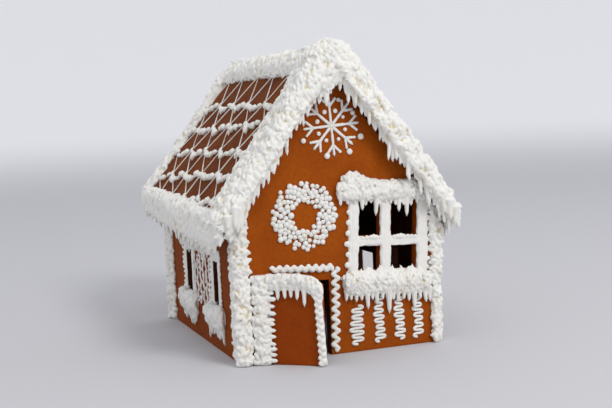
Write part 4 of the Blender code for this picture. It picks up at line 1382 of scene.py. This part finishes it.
# flat bands up both sides of the opening and a wide one over it, with beads along the outer edges
def sideWindowPieces(side, which):
    place = wallPlace[side]
    node = "icing_" + side + "_window_" + which
    name = "icing" + side.capitalize() + "Window" + which.capitalize()
    dice = diceFor(name)
    low, high = nodeBox(node)
    near, far = low[1] + sideWindow["bandWidth"], high[1] - sideWindow["bandWidth"]
    bottom, top = low[2] + sideWindow["below"], high[2] - sideWindow["above"]
    half, relief = sideWindow["bandWidth"] / 2, sideWindow["relief"]
    shapes = []
    for middle in (near - half, far + half):
        shapes += bar(place, (middle, bottom - 5 * mm), (middle, high[2] - 1 * mm), half, relief, dice)
    middle, half = (top + high[2]) / 2, (high[2] - top) / 2
    shapes += bar(place, (low[1] + 0.5 * mm, middle), (high[1] - 0.5 * mm, middle), half, relief, dice, 4)
    up = np.arange(bottom - 2 * mm, high[2] - 2 * mm, sideWindow["beadPitch"])
    for edge in (low[1] - 0.6 * mm, high[1] + 0.6 * mm):
        across = edge + dice.normal(0, 0.4 * mm, len(up))
        shapes.append(dotsOn(place, across, up, 0.2 * mm, sideWindow["bead"] * dice.uniform(0.8, 1.2, len(up))))
    icingPiece(name, shapes, pipedIcing, node, cell=0.4 * mm)
    sillName = name + "Sill"
    dice = diceFor(sillName)
    past, drop = sideWindow["sillPast"], sideWindow["sillDrop"]
    rings = heapRings(place, near - past, far + past, bottom - drop, 8.0 * mm, 7.0 * mm, 4.8 * mm, dice, None, 50)
    shapes = [
        band(rings),
        drips(rings, sideWindow["sillStrokes"], dice, 6.0 * mm, 1.25 * mm, (0.06, 0.66), 0.30),
        drips(rings, 50, dice, 7.0 * mm, 1.3 * mm, (0.5, 0.62), 0.30),
        fringe(rings, sideWindow["sillPitch"], sideWindow["hang"], 1.75 * mm, facingOf(place), dice, (0.04, 0.96)),
    ]
    icingPiece(sillName, shapes, heapIcing, node + "_sill", cell=0.5 * mm)


wallLace = {
    "patch": (66.0 * mm, 156.0 * mm), "patchMiddle": 76.0 * mm, "patchDrop": 10.0 * mm, "relief": 1.7 * mm,
    "lines": (71, 79, 87, 95, 103, 110), "from": 62.0 * mm, "to": 27.0 * mm, "bow": 1.3 * mm, "radius": 0.95 * mm,
}


# icing that has run from the eave down a side wall, and bead-edged lines below it, between the windows
def wallLacePiece(side):
    place = wallPlace[side]
    name = "icingWallLace" + side.capitalize()
    dice = diceFor(name)
    facing = facingOf(place)
    middle, drop, relief, bow = (wallLace[key] for key in ("patchMiddle", "patchDrop", "relief", "bow"))
    rings = heapRings(place, *wallLace["patch"], middle, 14 * mm, drop, relief, dice, None, 80)
    shapes = [band(rings), fringe(rings, 3.4 * mm, (1.5 * mm, 9.0 * mm), 1.2 * mm, facing, dice, (0.02, 0.98))]
    z = np.linspace(wallLace["from"], wallLace["to"], 60)
    beadZ = np.arange(wallLace["to"], wallLace["from"], 4.3 * mm)
    count = len(beadZ)
    for number, along in enumerate(wallLace["lines"]):
        sway = bow * np.sin(z / mm * 0.62 + np.pi * number) + 0.4 * mm * np.sin(z / mm * 0.23 + number)
        radius = wallLace["radius"] * (1.0 + 0.2 * np.sin(z / mm * 1.9 + number))
        shapes.append(line(place(along * mm + sway, z, 0.35 * mm), radius, facing, 7, 0.8))
        up = beadZ + dice.normal(0, 0.5 * mm, count)
        across = along * mm + dice.normal(0, 1.0 * mm, count)
        shapes.append(dotsOn(place, across, up, 0.3 * mm, dice.uniform(1.0, 1.8, count) * mm))
    icingPiece(name, shapes, pipedIcing, cell=0.45 * mm)


wallLacePiece("left")
for windowSide in ("left", "right"):
    for windowWhich in ("near", "far"):
        sideWindowPieces(windowSide, windowWhich)

print("stage 12: floor, light and camera")

studio = {
    "floor": (0.60, 0.60, 0.62), "rimShade": (0.92, 0.92, 0.94), "world": (0.95, 0.96, 1.0), "worldStrength": 0.76,
    "flat": 1.3, "rim": 3.2, "wall": 1.5,  # metres: where the floor stops being flat, its rim, and its height there
}


# a round floor that curves up into a pale rim on every side
def studioFloor():
    flat, rim, sides = studio["flat"], studio["rim"], 72
    reach = np.concatenate([np.linspace(0.02, flat, 14), np.linspace(flat, rim, 26)[1:]])[:, None]
    lift = np.clip((reach - flat) / (rim - flat), 0, 1) ** 2.2 * studio["wall"]
    turn = np.arange(sides) * 2 * np.pi / sides
    rings = np.stack(np.broadcast_arrays(reach * np.cos(turn), reach * np.sin(turn), lift), -1)
    points = rings.reshape(-1, 3).tolist() + [(0.0, 0.0, 0.0)]
    row, step = np.meshgrid(np.arange(len(rings) - 1) * sides, np.arange(sides), indexing="ij")
    after = (step + 1) % sides
    quads = np.stack([row + step, row + sides + step, row + sides + after, row + after], -1).reshape(-1, 4)
    middle = len(points) - 1
    mesh = bpy.data.meshes.new("studioFloor")
    mesh.from_pydata(points, [], quads.tolist() + [(middle, k, (k + 1) % sides) for k in range(sides)])
    mesh.polygons.foreach_set("use_smooth", np.ones(len(mesh.polygons), bool))
    floor = bpy.data.objects.new("studioFloor", mesh)
    bpy.context.scene.collection.objects.link(floor)
    material, tree, shader = newMaterial("paleFloor")
    coordinates = newNode(tree, "ShaderNodeTexCoord").outputs["Object"]
    split = newNode(tree, "ShaderNodeSeparateXYZ")
    tree.links.new(coordinates, split.inputs[0])
    cloud = ranged(tree, noise(tree, coordinates, 3.0, 2.0), 0.3, 0.7, 0.0, 0.15)
    shade = mixed(tree, cloud, studio["floor"] + (1,), (0.60, 0.60, 0.64, 1))
    shade = mixed(tree, ranged(tree, split.outputs["Z"], 0.0, 0.12, 0.0, 1.0), shade, studio["rimShade"] + (1,))
    tree.links.new(shade, shader.inputs["Base Color"])
    shader.inputs["Roughness"].default_value = 0.9
    shader.inputs["Specular IOR Level"].default_value = 0.1
    mesh.materials.append(material)


houseMiddle = (0.0, 0.0, 0.09)
lights = {  # place, size, power, colour
    "keyLight": ((0.50, -1.50, 1.45), 0.7, 16.5, (1.0, 0.985, 0.96)),
    "fillLight": ((-1.3, -1.5, 0.7), 1.4, 1.2, (0.96, 0.98, 1.0)),
}


# a round soft light that looks at the middle of the house
def areaLight(name, position, size, power, colour):
    data = bpy.data.lights.new(name, "AREA")
    data.shape = "DISK"
    data.size = size
    data.energy = power
    data.color = colour
    lamp = bpy.data.objects.new(name, data)
    lamp.location = position
    direction = np.array(houseMiddle) - np.array(position)
    lamp.rotation_mode = "QUATERNION"
    lamp.rotation_quaternion = Vector(direction).to_track_quat("-Z", "Y")
    bpy.context.scene.collection.objects.link(lamp)


camera = {  # metres, degrees and millimetres
    "position": (-0.2616, -0.7436, 0.1665), "yaw": 20.28, "pitch": 5.24, "roll": -2.48, "lens": 62.58, "sensor": 36.0,
}


# the yaw turns the view from +Y towards +X, the pitch looks down, and the roll turns the picture
def studioCamera():
    yaw, pitch, roll = (math.radians(camera[key]) for key in ("yaw", "pitch", "roll"))
    forward = np.array((math.sin(yaw) * math.cos(pitch), math.cos(yaw) * math.cos(pitch), -math.sin(pitch)))
    right = np.array((math.cos(yaw), -math.sin(yaw), 0.0))
    up = np.cross(right, forward)
    right, up = right * math.cos(roll) + up * math.sin(roll), up * math.cos(roll) - right * math.sin(roll)
    data = bpy.data.cameras.new("studioCamera")
    data.sensor_width = camera["sensor"]
    data.lens = camera["lens"]
    data.clip_start, data.clip_end = 0.01, 50.0
    made = bpy.data.objects.new("studioCamera", data)
    turned = Matrix((right, up, -forward)).transposed().to_4x4()
    turned.translation = camera["position"]
    made.matrix_world = turned
    bpy.context.scene.collection.objects.link(made)
    bpy.context.scene.camera = made


studioFloor()
world = bpy.data.worlds.new("paleStudio")
world.use_nodes = True
sky = world.node_tree.nodes["Background"].inputs
sky["Color"].default_value = studio["world"] + (1,)
sky["Strength"].default_value = studio["worldStrength"]
bpy.context.scene.world = world
bpy.context.scene.view_settings.view_transform = "Standard"
for lightName, lightSettings in lights.items():
    areaLight(lightName, *lightSettings)
studioCamera()

print("stage 13: done")
